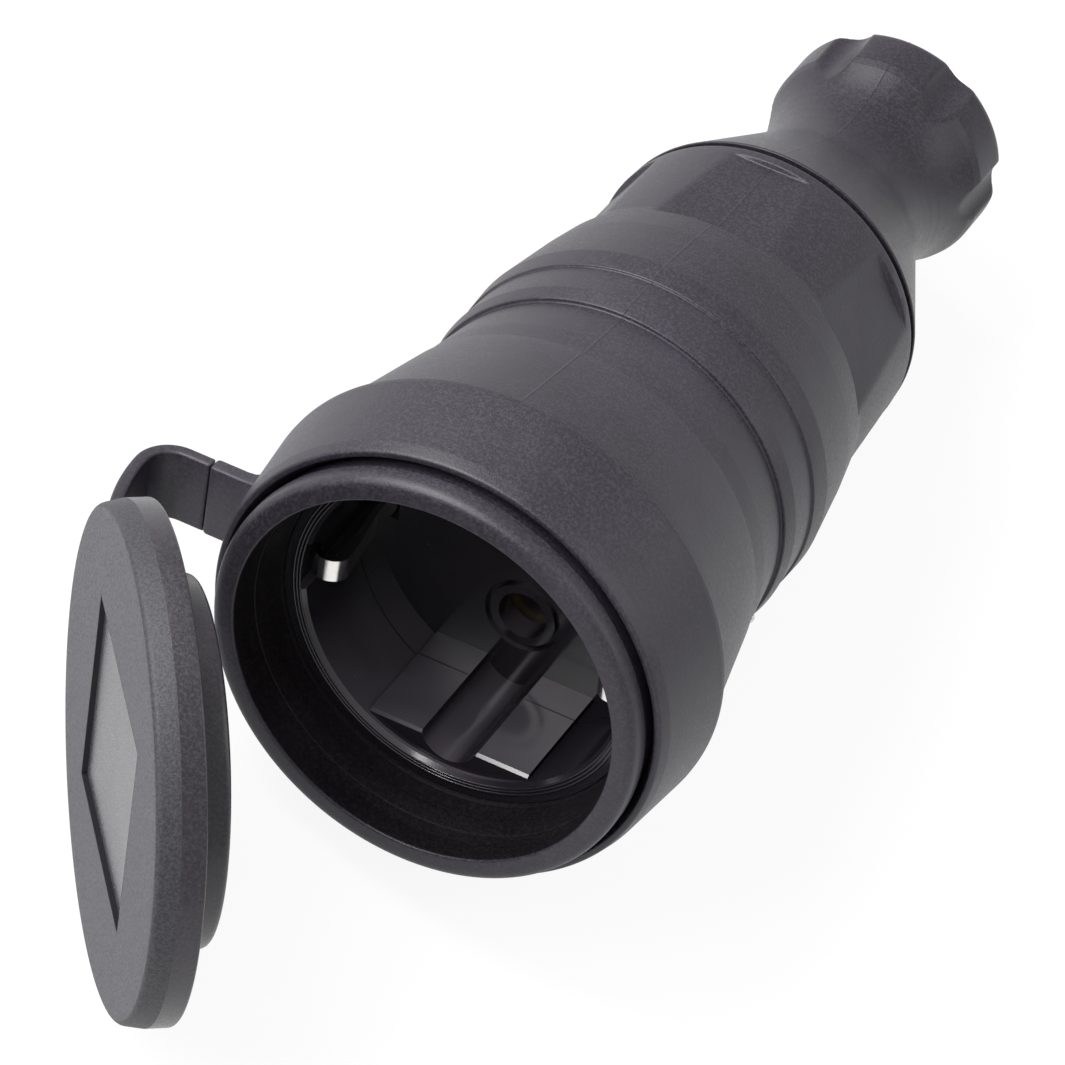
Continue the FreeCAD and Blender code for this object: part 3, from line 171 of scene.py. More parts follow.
class Tree:
    """A material's node tree and the few ways that nodes are added to it."""

    def __init__(self, name: str) -> None:
        """Start an empty material.

        Args:
            name: The material's name.
        """
        self.material = bpy.data.materials.new(name)
        self.material.use_nodes = True
        self.nodes = self.material.node_tree.nodes
        self.links = self.material.node_tree.links
        self.nodes.clear()
        self.place = self.node("ShaderNodeTexCoord", {}, {}).outputs["Object"]

    def node(self, kind: str, settings: dict, inputs: dict) -> bpy.types.Node:
        """Add a node, set it up, then feed its inputs.

        Args:
            kind: The node's type.
            settings: Attributes to set, before the inputs.
            inputs: Values, sockets or wrapped sockets for inputs by name or number.

        Returns:
            The new node.
        """
        node = self.nodes.new(kind)
        for key, setting in settings.items():
            setattr(node, key, setting)
        for key, given in inputs.items():
            given = given.port if isinstance(given, Sock) else given
            if isinstance(given, bpy.types.NodeSocket):
                self.links.new(given, node.inputs[key])
            else:
                node.inputs[key].default_value = given
        return node

    def noise(self, scale: float, detail: float = 2.0, roughness: float = 0.5,
              stretch: tuple[float, float, float] | None = None) -> Sock:
        """Add soft noise in the object's own space.

        Args:
            scale: Features per metre.
            detail: How many finer layers ride on it.
            roughness: How strong the finer layers are.
            stretch: Scale along each axis, for grain that runs one way.

        Returns:
            A number round one half.
        """
        place = self.place
        if stretch is not None:
            place = self.node("ShaderNodeMapping", {}, {"Vector": place, "Scale": stretch}).outputs[0]
        node = self.node("ShaderNodeTexNoise", {},
                         {"Vector": place, "Scale": scale, "Detail": detail, "Roughness": roughness})
        return Sock(self, node.outputs["Fac"])

    def cells(self, scale: float) -> Sock:
        """Add a cell pattern in the object's own space.

        Args:
            scale: Cells per metre.

        Returns:
            The distance from the nearest cell point.
        """
        node = self.node("ShaderNodeTexVoronoi", {"feature": "F1"},
                         {"Vector": self.place, "Scale": scale})
        return Sock(self, node.outputs["Distance"])

    def blend(self, factor: Sock, first: Sequence[float], second: Sequence[float]) -> bpy.types.NodeSocket:
        """Mix two colours.

        Args:
            factor: How much of the second colour shows.
            first: Linear red, green and blue.
            second: Linear red, green and blue.

        Returns:
            The mixed colour's socket.
        """
        node = self.node("ShaderNodeMix", {"data_type": "RGBA"}, {0: factor})
        node.inputs[6].default_value = (*first, 1.0)
        node.inputs[7].default_value = (*second, 1.0)
        return node.outputs[2]

    def bump(self, height: Sock, depth: float, strength: float = 1.0,
             under: bpy.types.NodeSocket | None = None) -> bpy.types.NodeSocket:
        """Turn a height into a bump.

        Args:
            height: The height, round zero to one.
            depth: What a height of one stands for, in metres.
            strength: How much of the bump shows.
            under: A coarser bump that this one rides on.

        Returns:
            The bumped normal's socket.
        """
        inputs = {"Strength": strength, "Distance": depth, "Height": height}
        if under is not None:
            inputs["Normal"] = under
        return self.node("ShaderNodeBump", {}, inputs).outputs[0]

    def finish(self, inputs: dict) -> bpy.types.Material:
        """End the tree in a Principled shader.

        Args:
            inputs: Values or sockets for the shader's inputs.

        Returns:
            The finished material.
        """
        shader = self.node("ShaderNodeBsdfPrincipled", {}, inputs)
        self.node("ShaderNodeOutputMaterial", {}, {"Surface": shader.outputs[0]})
        return self.material


# Finishes.


@dataclass(frozen=True)
class Rubber:
    """Matte moulded rubber with fine grain, a little bloom and faint handling marks."""

    name: str
    dark: tuple[float, float, float]
    bloom: tuple[float, float, float]
    roughness: float = 0.46
    sheen: float = 0.34
    grain: float = 3200.0
    grain_depth: float = 0.00005
    ripple_depth: float = 0.00012

    def build(self) -> bpy.types.Material:
        """Make the material.

        Returns:
            The finished material.
        """
        tree = Tree(self.name)
        clouds = tree.noise(38.0, 4.0, 0.6)
        speckle = tree.noise(2400.0, 2.0, 0.7)
        specks = tree.cells(260.0).spread(0.05, 0.11, 1.0, 0.0)
        dust = (clouds.spread(0.42, 0.75) * 0.4 + speckle.spread(0.42, 0.66) * 0.6).at_most(1.0)
        colour = tree.blend((dust + specks * speckle.spread(0.55, 0.7) * 0.6).at_most(1.0),
                            self.dark, self.bloom)
        rough = self.roughness + (clouds - 0.5) * 0.16 + (speckle - 0.5) * 0.4
        ripple = tree.bump(tree.noise(120.0, 2.0), self.ripple_depth)
        grain = tree.bump(tree.noise(self.grain, 3.0, 0.65), self.grain_depth, 0.8, ripple)
        return tree.finish({"Base Color": colour, "Roughness": rough, "Normal": grain,
                            "IOR": 1.5, "Specular IOR Level": self.sheen})


@dataclass(frozen=True)
class SparkTexture:
    """Moulded rubber with the pebbled texture of an eroded mould."""

    name: str
    dark: tuple[float, float, float]
    bloom: tuple[float, float, float]
    depth: float = 0.00007
    roughness: float = 0.58

    def build(self) -> bpy.types.Material:
        """Make the material.

        Returns:
            The finished material.
        """
        tree = Tree(self.name)
        pebbles = tree.noise(3000.0, 2.0, 0.75)
        fine = tree.noise(6500.0, 1.0, 0.6)
        clouds = tree.noise(45.0, 3.0, 0.6)
        height = pebbles + fine * 0.5
        colour = tree.blend((pebbles.spread(0.36, 0.64, 0.0, 0.85) + clouds * 0.25).at_most(1.0),
                            self.dark, self.bloom)
        rough = self.roughness + (clouds - 0.5) * 0.12 + (fine - 0.5) * 0.2
        return tree.finish({"Base Color": colour, "Roughness": rough,
                            "Normal": tree.bump(height, self.depth, 0.9), "IOR": 1.5})


@dataclass(frozen=True)
class Gloss:
    """Hard moulded plastic, nearly a mirror, with faint flow marks, fine dust and a painted sheen on the
    faces that look up.
    """

    name: str
    colour: tuple[float, float, float]
    dust_and_sheen: tuple[float, float, float]
    roughness: float = 0.14
    painted_sheen: float = 0.0

    def build(self) -> bpy.types.Material:
        """Make the material.

        Returns:
            The finished material.
        """
        tree = Tree(self.name)
        flow = tree.noise(60.0, 3.0, 0.55)
        dust = tree.cells(700.0).spread(0.04, 0.1, 1.0, 0.0) * tree.noise(300.0).spread(0.5, 0.7)
        facing = tree.node("ShaderNodeTexCoord", {}, {}).outputs["Normal"]
        upward = Sock(tree, tree.node("ShaderNodeSeparateXYZ", {}, {0: facing}).outputs["Z"])
        # Painted sheen: faces that look up are lightened towards the second colour, standing in for
        # reflected light; the cell specks above are real dust.
        painted_sheen_mask = upward.spread(0.6, 0.94) * flow.spread(0.3, 0.7, 0.6, 1.0) * self.painted_sheen
        colour = tree.blend((dust * 0.8 + painted_sheen_mask).at_most(1.0), self.colour, self.dust_and_sheen)
        rough = (self.roughness + (flow - 0.5) * 0.12 + dust * 0.3).at_least(0.04)
        return tree.finish({"Base Color": colour, "Roughness": rough,
                            "Normal": tree.bump(flow, 0.00008, 0.7), "IOR": 1.54})


@dataclass(frozen=True)
class Metal:
    """Bare or plated metal with fine drawn lines and a little tarnish."""

    name: str
    bright: tuple[float, float, float]
    tarnish: tuple[float, float, float]
    roughness: float = 0.22
    lines: tuple[float, float, float] = (1.0, 1.0, 8.0)

    def build(self) -> bpy.types.Material:
        """Make the material.

        Returns:
            The finished material.
        """
        tree = Tree(self.name)
        drawn = tree.noise(700.0, 3.0, 0.6, self.lines)
        patches = tree.noise(170.0, 3.0, 0.6)
        colour = tree.blend(patches.spread(0.45, 0.8) * 0.5, self.bright, self.tarnish)
        rough = self.roughness + (drawn - 0.5) * 0.14 + (patches - 0.5) * 0.1
        return tree.finish({"Base Color": colour, "Metallic": 1.0, "Roughness": rough,
                            "Normal": tree.bump(drawn, 0.00002, 0.6)})


FINISHES = {
    Paint.RUBBER: Rubber("moulded_rubber", (0.0152, 0.0128, 0.0188), (0.036, 0.0318, 0.0445),
                         roughness=0.43, sheen=0.42),
    Paint.NUT: Rubber("nut_rubber", (0.0152, 0.0128, 0.0185), (0.033, 0.0292, 0.0405), roughness=0.38,
                      grain=3600.0, grain_depth=0.00004),
    Paint.SEAL: Rubber("seal_rubber", (0.05, 0.05, 0.052), (0.09, 0.09, 0.092), roughness=0.6),
    # The insert's faces that look up get painted sheen, a lighter tone in place of reflected light.
    Paint.INSERT: Gloss("insert_plastic", (0.013, 0.011, 0.0145), (0.11, 0.098, 0.116), roughness=0.15,
                        painted_sheen=0.8),
    Paint.CARRIER: Gloss("carrier_plastic", (0.03, 0.03, 0.032), (0.08, 0.08, 0.08), roughness=0.4),
    Paint.BRASS: Metal("brass", (0.72, 0.52, 0.24), (0.42, 0.28, 0.13), roughness=0.28),
    Paint.SPRING: Metal("spring_steel", (0.50, 0.50, 0.52), (0.30, 0.30, 0.32), roughness=0.32),
    Paint.STRIP: Metal("plated_strip", (0.86, 0.85, 0.82), (0.62, 0.60, 0.56), roughness=0.18),
    Paint.SCREW: Metal("screw_steel", (0.66, 0.66, 0.68), (0.42, 0.42, 0.44), roughness=0.26),
}
LID_FINISHES = {
    LidSlot.FACE: SparkTexture("lid_face_rubber", (0.015, 0.0138, 0.018), (0.066, 0.063, 0.074)),
    LidSlot.RIM: Rubber("lid_rim_rubber", (0.0145, 0.012, 0.0165), (0.036, 0.0315, 0.041),
                        roughness=0.34, sheen=0.5),
    # Near-black rubber on the diamond's walls and a thin strip of face at its edge: painted shade of the
    # narrow sunken edge.
    LidSlot.SHADED_WALL: Rubber("lid_wall_painted_shade", (0.004, 0.0035, 0.0045), (0.008, 0.007, 0.009), sheen=0.1),
    LidSlot.PANEL: SparkTexture("lid_panel_rubber", (0.014, 0.0128, 0.017), (0.05, 0.047, 0.056),
                                depth=0.00001, roughness=0.28),
    # The bevel uses the face's pebbled rubber made darker: painted shade on the sloping band.
    LidSlot.BEVEL: SparkTexture("lid_bevel_painted_shade", (0.009, 0.008, 0.011), (0.034, 0.032, 0.039),
                                depth=0.00005),
}
# The housing's own rubber made much darker and a little rougher for the mouth's inside and the bore:
# painted shade of the recess.
MOUTH_SHADE = Rubber("mouth_painted_shade", (0.0043, 0.0034, 0.0042), (0.013, 0.0105, 0.0128), roughness=0.55,
               sheen=0.14)
CREVICE = Gloss("crevice_plastic", (0.002, 0.0018, 0.0022), (0.004, 0.0036, 0.0042), roughness=0.5)


# Shapes.


@dataclass
class Mesh:
    """Points and faces gathered before they become a Blender mesh."""

    points: list[Vector] = field(default_factory=list)
    faces: list[tuple[int, ...]] = field(default_factory=list)
    paints: list[int] = field(default_factory=list)

    def ring_grid(self, rows: list[list[Vector]], closed_rows: bool, closed_round: bool,
                  paint: Callable[[int], int] = lambda row: 0) -> None:
        """Join rows of points with four-sided faces.

        Args:
            rows: Rows with the same number of points each.
            closed_rows: Whether the last row joins the first.
            closed_round: Whether each row's last point joins its first.
            paint: The material slot of the faces after a row, by the row's number.
        """
        start = len(self.points)
        width = len(rows[0])
        for row in rows:
            self.points.extend(row)
        for i in range(len(rows) if closed_rows else len(rows) - 1):
            below = start + i * width
            above = start + ((i + 1) % len(rows)) * width
            for j in range(width if closed_round else width - 1):
                k = (j + 1) % width
                self.faces.append((below + j, below + k, above + k, above + j))
                self.paints.append(paint(i))

    def cap(self, row: list[Vector], paint: int = 0, flip: bool = False) -> None:
        """Close a row of points with one face.

        Args:
            row: The points in order.
            paint: The face's material slot.
            flip: Whether the face looks the other way.
        """
        start = len(self.points)
        self.points.extend(row)
        order = tuple(range(start, start + len(row)))
        self.faces.append(tuple(reversed(order)) if flip else order)
        self.paints.append(paint)

    def make(self, name: str, place: Matrix, materials: Iterable[bpy.types.Material],
             sharp: float = 40.0) -> bpy.types.Object:
        """Make the Blender object.

        Args:
            name: The object's name.
            place: Turns the points into the frame's metres.
            materials: One material per slot.
            sharp: Edges that turn by more degrees than this stay crisp.

        Returns:
            The new object, with outward normals.
        """
        data = bpy.data.meshes.new(name)
        data.from_pydata([place @ point for point in self.points], [], self.faces)
        for material in materials:
            data.materials.append(material)
        data.polygons.foreach_set("material_index", self.paints)
        shape = bmesh.new()
        shape.from_mesh(data)
        bmesh.ops.remove_doubles(shape, verts=shape.verts, dist=1e-7)
        bmesh.ops.recalc_face_normals(shape, faces=shape.faces)
        for face in shape.faces:
            face.smooth = True
        for edge in shape.edges:
            edge.smooth = len(edge.link_faces) == 2 and edge.calc_face_angle(0.0) < math.radians(sharp)
        shape.to_mesh(data)
        shape.free()
        thing = bpy.data.objects.new(name, data)
        bpy.context.scene.collection.objects.link(thing)
        return thing


def soften(corners: Sequence[tuple[float, float, float]], steps: int = 5,
           closed: bool = True) -> Profile:
    """Round the corners of an outline.

    Args:
        corners: Two coordinates and a rounding size for each corner.
        steps: Points per rounded corner, less one.
        closed: Whether the last corner joins the first.

    Returns:
        The rounded outline's points.
    """
    outline: Profile = []
    count = len(corners)
    for i, (a, b, size) in enumerate(corners):
        here = Vector((a, b))
        if size <= 0 or (not closed and i in (0, count - 1)):
            outline.append((a, b))
            continue
        back = Vector(corners[i - 1][:2]) - here
        ahead = Vector(corners[(i + 1) % count][:2]) - here
        angle = back.angle(ahead, math.pi)
        reach = min(size / math.tan(max(angle, 0.05) / 2), 0.49 * back.length, 0.49 * ahead.length)
        start = here + back.normalized() * reach
        end = here + ahead.normalized() * reach
        for k in range(steps + 1):
            t = k / steps
            point = start * (1 - t) ** 2 + here * (2 * t * (1 - t)) + end * t ** 2
            outline.append((point.x, point.y))
    return outline


def resample(outline: Profile, longest: float, closed: bool = True) -> Profile:
    """Split the long runs of an outline.

    Args:
        outline: The outline's points.
        longest: The longest run that may stay.
        closed: Whether the last point joins the first.

    Returns:
        The outline with more points on its long runs.
    """
    result: Profile = []
    count = len(outline)
    for i in range(count):
        here = Vector(outline[i])
        result.append((here.x, here.y))
        if not closed and i == count - 1:
            break
        there = Vector(outline[(i + 1) % count])
        parts = max(1, math.ceil((there - here).length / longest))
        for k in range(1, parts):
            point = here.lerp(there, k / parts)
            result.append((point.x, point.y))
    return result


def steps_round(count: int, seams: Sequence[float] = (), seam_half: float = 1.6,
                seam_step: float = 0.2) -> list[float]:
    """Angles round a turned piece, closer together at its mould lines.

    Args:
        count: Even steps round the circle.
        seams: The mould lines' angles, in degrees.
        seam_half: How far each side of a mould line the fine steps reach.
        seam_step: The fine step, in degrees.

    Returns:
        Rising angles in degrees.
    """
    angles = {round(360.0 * i / count, 4) for i in range(count)}
    for seam in seams:
        angles = {a for a in angles if abs((a - seam + 180) % 360 - 180) > seam_half}
        half = round(seam_half / seam_step)
        angles |= {round((seam + i * seam_step) % 360, 4) for i in range(-half, half + 1)}
    return sorted(angles)


def bar(half_width: float, half_thickness: float, rounding: float) -> Profile:
    """Outline a flat bar's section with rounded corners."""
    w, t = half_width, half_thickness
    return soften([(-w, -t, rounding), (w, -t, rounding), (w, t, rounding), (-w, t, rounding)])


def smooth_less(a: float, b: float, soft: float) -> float:
    """The smaller of two numbers, with the crossing rounded off."""
    h = max(soft - abs(a - b), 0.0) / soft
    return min(a, b) - h * h * soft / 4


def ease(value: float, low: float, high: float) -> float:
    """Rise smoothly from zero at low to one at high."""
    t = min(max((value - low) / (high - low), 0.0), 1.0)
    return t * t * (3 - 2 * t)


# The connector.


@dataclass
class Socket:
    """The connector's own axes in the frame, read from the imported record."""

    out: Vector = field(init=False)
    up: Vector = field(init=False)
    right: Vector = field(init=False)
    place: Matrix = field(init=False)
    lid_place: Matrix = field(init=False)

    HINGE_AT = Vector((-38.35, 0.0, -3.8))
    SEAT_GAP = 0.3
    ORIGIN_DEPTH = 2.7

    def __post_init__(self) -> None:
        """Read the mouth's axis and the hinge's axis."""
        mouth = next(m for m in frame["record"]["mounts"] if m["name"] == "mouth_seal")
        hinge = next(j for j in frame["record"]["behaviour"]["joints"] if j["name"] == "lid_hinge")
        self.out = Vector(mouth["axis"]).normalized()
        self.up = Vector(hinge["axis"]).normalized()
        self.right = self.up.cross(self.out).normalized()
        turn = Matrix((self.right, self.up, self.out)).transposed()
        shift = Matrix.Translation(Vector((0.0, 0.0, self.ORIGIN_DEPTH)))
        self.place = turn.to_4x4() @ Matrix.Scale(MM, 4) @ shift
        swing = Matrix.Rotation(-math.radians(hinge["range_deg"][1]), 4, "Y")
        closed = Matrix.Translation(Vector((0.0, 0.0, self.SEAT_GAP)) - self.HINGE_AT)
        self.lid_place = self.place @ Matrix.Translation(self.HINGE_AT) @ swing @ closed

    def at(self, x: float, y: float, z: float) -> Vector:
        """Turn a point of the connector's axes into the frame.

        Args:
            x: Millimetres to the right.
            y: Millimetres up the pin line.
            z: Millimetres out of the mouth.

        Returns:
            The point in metres.
        """
        return self.place @ Vector((x, y, z))

    def along(self, x: float, y: float, z: float) -> Vector:
        """Turn a direction of the connector's axes into the frame."""
        return (self.right * x + self.up * y + self.out * z).normalized()


def turned(mesh: Mesh, outline: Profile, angles: Sequence[float],
           shape: Callable[[float, float, float], float] | None = None,
           paint: Callable[[int], int] = lambda row: 0) -> None:
    """Turn a closed outline of depth and radius round the z axis.

    Args:
        mesh: Where the points and faces go.
        outline: Depth behind the lip and radius for each point.
        angles: Degrees round the axis.
        shape: Gives the radius from the depth, the radius and the angle.
        paint: The material slot after each outline point.
    """
    rows = []
    for depth, radius in outline:
        row = []
        for angle in angles:
            r = shape(depth, radius, angle) if shape else radius
            a = math.radians(angle)
            row.append(Vector((r * math.cos(a), r * math.sin(a), -depth)))
        rows.append(row)
    mesh.ring_grid(rows, True, True, paint)


def off_seam(angle: float, seam: float) -> float:
    """Degrees from an angle to a mould line."""
    return abs((angle - seam + 180.0) % 360.0 - 180.0)


def off_sixth(angle: float, first: float) -> float:
    """Radians from an angle in degrees to the nearest of six even places."""
    return math.radians((angle - first + SIXTH / 2) % SIXTH - SIXTH / 2)


@dataclass
class Housing:
    """The rubber housing: lip, cones, stepped ring, bulge and the grip with its finger pads."""

    seams: tuple[float, float] = (90.5, 270.5)
    seam_height: float = 0.05
    seam_half_width: float = 0.16
    seam_start: float = 17.6
    pad_start: float = 68.5
    pad_end: float = 85.0
    pad_heights: tuple[float, float] = (20.6, 20.1)
    pad_half_widths: tuple[float, float] = (8.05, 5.95)
    pad_wall: float = 0.35
    pad_blend: float = 0.12
    first_pad: float = 30.0
    outside_end: float = 86.0
    outside_radius: float = 20.0

    CORNERS = (
        (0.0, 24.2, 0.35), (0.0, 27.1, 2.4), (2.9, 27.1, 0.25), (3.4, 26.6, 0.3),
        (17.4, 26.6, 0.0), (17.4, 29.15, 0.25), (34.1, 25.6, 0.5), (34.6, 25.08, 0.4),
        (38.0, 24.72, 1.5), (44.75, 23.6, 0.25), (44.8, 24.15, 0.22), (47.0, 24.43, 1.0),
        (52.1, 24.0, 0.2), (52.2, 24.3, 0.2), (55.4, 24.42, 1.5), (64.2, 23.0, 1.2),
        (69.8, 21.85, 1.6), (86.7, 20.65, 0.75),
        (86.7, 13.1, 0.0), (75.1, 13.1, 0.0), (75.1, 17.6, 0.0), (72.0, 17.6, 0.0),
        (72.0, 14.5, 0.0), (56.3, 14.5, 0.0), (53.3, 19.6, 0.0), (31.0, 19.6, 0.0),
        (31.0, 22.1, 0.0), (11.8, 22.1, 0.0), (11.8, 23.0, 0.0), (10.2, 23.0, 0.0),
        (9.7, 23.25, 0.3), (7.3, 23.62, 0.1), (7.2, 23.52, 0.1), (4.9, 23.9, 0.1),
        (4.8, 24.02, 0.1), (3.3, 24.2, 0.3),
    )

    def radius(self, depth: float, radius: float, angle: float) -> float:
        """Shape the grip's pads and the mould lines into the turned outside.

        Args:
            depth: Depth behind the lip.
            radius: The plain radius there.
            angle: Degrees round the axis.

        Returns:
            The shaped radius.
        """
        if radius < self.outside_radius or depth < self.seam_start or depth > self.outside_end:
            return radius
        shaped = radius
        if self.pad_start < depth < self.pad_end:
            t = (depth - self.pad_start) / (self.pad_end - self.pad_start)
            half = self.pad_half_widths[0] * (1 - t) + self.pad_half_widths[1] * t
            height = self.pad_heights[0] * (1 - t) + self.pad_heights[1] * t
            off = off_sixth(angle, self.first_pad)
            if abs(radius * math.sin(off)) < half + 1.0:
                flat = height / math.cos(off)
                walls = ease(depth, self.pad_start, self.pad_start + self.pad_wall)
                walls *= 1 - ease(depth, self.pad_end - self.pad_wall, self.pad_end)
                shaped = radius + (smooth_less(radius, flat, self.pad_blend) - radius) * walls
        for seam in self.seams:
            off = off_seam(angle, seam) * math.radians(1) * shaped
            if off < self.seam_half_width:
                shaped += self.seam_height * (1 - ease(off, 0.0, self.seam_half_width))
        return shaped

    def build(self, socket: Socket, finish: bpy.types.Material,
              inside: bpy.types.Material) -> bpy.types.Object:
        """Make the housing.

        Args:
            socket: The connector's axes.
            finish: Its rubber.
            inside: A much darker copy of the rubber for the bore and the mouth's inside wall, painted
                shade.

        Returns:
            The piece, riding on the housing.
        """
        outline = resample(soften(self.CORNERS), 1.6)
        for edge in (self.pad_start, self.pad_end - self.pad_wall):
            outline = self.sliced(outline, [edge + 0.05 * k for k in range(8)])
        mesh = Mesh()
        back = max(range(len(outline)), key=lambda row: outline[row][0])
        # The bore and the mouth's inside take the second slot, the darker rubber that paints in their
        # shade.
        turned(mesh, outline, steps_round(ROUND_STEPS, self.seams, 2.0, 0.2), self.radius,
               lambda row: 1 if row > back else 0)
        piece = mesh.make("housing_rubber", socket.place, [finish, inside], 35.0)
        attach(piece, "housing")
        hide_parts("rubber_housing")
        return piece

    def sliced(self, outline: Profile, depths: Sequence[float]) -> Profile:
        """Add outline points on the grip's outside at set depths.

        Args:
            outline: The outline.
            depths: Depths that get a point each.

        Returns:
            The outline with the added points.
        """
        result: Profile = []
        for i, (depth, radius) in enumerate(outline):
            result.append((depth, radius))
            after, after_radius = outline[(i + 1) % len(outline)]
            if min(radius, after_radius) < self.outside_radius or after <= depth:
                continue
            for cut in depths:
                if depth + 1e-3 < cut < after - 1e-3:
                    t = (cut - depth) / (after - depth)
                    result.append((cut, radius + (after_radius - radius) * t))
        return result


@dataclass
class InsertTrim:
    """Fine beads on the insert's front edge, and the mould line inside its recess."""

    beads: tuple[float, ...] = (20.98, 21.38, 21.8)
    bead_depth: float = 10.2
    bead_size: float = 0.13
    bead_arc: range = range(-40, 221, 26)
    arc_steps: int = 24
    recess: float = 20.4
    flat: float = 17.05
    key_half: float = 10.3
    channel_half: float = 3.72
    slot_half: float = 3.5
    line_depth: float = 22.9
    line_width: float = 0.14
    lift: float = 0.02

    def bead(self, mesh: Mesh, radius: float) -> None:
        """Add one round bead.

        Args:
            mesh: Where the bead goes.
            radius: Its distance from the axis.
        """
        section = [(self.bead_depth - self.bead_size * math.sin(math.radians(a)),
                    radius + self.bead_size * math.cos(math.radians(a))) for a in self.bead_arc]
        turned(mesh, section, steps_round(240))

    def runs(self) -> list[Profile]:
        """Trace the mould line.

        Returns:
            Runs of points across and up, on the recess wall and on the keys' flats.
        """
        runs: list[Profile] = []
        wall = self.recess - self.lift
        key = math.degrees(math.acos(self.key_half / self.recess))
        slot = math.degrees(math.asin(self.slot_half / self.recess))
        for low, high in ((slot, key), (180 - key, 180 - slot),
                          (180 + slot, 180 + key), (360 - key, 360 - slot)):
            turns = [math.radians(low + (high - low) * k / self.arc_steps)
                     for k in range(self.arc_steps + 1)]
            runs.append([(wall * math.cos(a), wall * math.sin(a)) for a in turns])
        for height in (self.flat - self.lift, self.lift - self.flat):
            for low, high in ((-self.key_half, -self.channel_half), (self.channel_half, self.key_half)):
                runs.append([(low, height), (high, height)])
        return runs

    def build(self, socket: Socket, plastic: bpy.types.Material,
              dark: bpy.types.Material) -> list[bpy.types.Object]:
        """Make the beads and the line.

        Args:
            socket: The connector's axes.
            plastic: The insert's plastic.
            dark: What the mould line shows as.

        Returns:
            The two pieces, riding on the housing.
        """
        beads = Mesh()
        for radius in self.beads:
            self.bead(beads, radius)
        line = Mesh()
        near, far = -self.line_depth, -self.line_depth - self.line_width
        for run in self.runs():
            line.ring_grid([[Vector((x, y, z)) for x, y in run] for z in (near, far)], False, False)
        pieces = []
        for name, mesh, finish in (("insert_beads", beads, plastic), ("insert_mould_line", line, dark)):
            piece = mesh.make(name, socket.place, [finish], 60.0)
            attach(piece, "housing")
            pieces.append(piece)
        return pieces


@dataclass
class Collar:
    """The rubber collar round the nose, with the flat lug that the strap grows from."""

    CORNERS = (
        (17.4, 26.7, 0.0), (17.4, 29.3, 0.0), (17.25, 30.0, 0.35), (16.4, 30.02, 0.4),
        (5.4, 28.98, 1.4), (3.6, 28.55, 0.5), (3.6, 27.8, 0.25), (5.6, 26.7, 0.0),
    )
    lug: tuple[float, float] = (-35.55, -28.6)
    lug_half_width: float = 5.0
    lug_half_thickness: float = 1.0
    lug_round: float = 0.35
    depth: float = 15.0

    def build(self, socket: Socket, finish: bpy.types.Material) -> bpy.types.Object:
        """Make the collar.

        Args:
            socket: The connector's axes.
            finish: Its rubber.

        Returns:
            The piece, riding on the housing.
        """
        mesh = Mesh()
        turned(mesh, resample(soften(self.CORNERS), 2.2), steps_round(ROUND_STEPS))
        section = bar(self.lug_half_width, self.lug_half_thickness, self.lug_round)
        far, near = self.lug
        rows = []
        for x, grow in ((far, 0.86), (far + 0.15, 0.95), (far + 0.4, 1.0), (-31.5, 1.0),
                        (-30.6, 1.06), (-30.0, 1.22), (near, 1.3)):
            rows.append([Vector((x, a * (1 + (grow - 1) * 0.25), b * grow - self.depth))
                         for a, b in section])
        mesh.cap(rows[0], flip=True)
        mesh.ring_grid(rows, False, True)
        mesh.cap(rows[-1])
        piece = mesh.make("collar_rubber", socket.place, [finish], 40.0)
        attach(piece, "housing")
        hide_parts("lid_collar")
        return piece


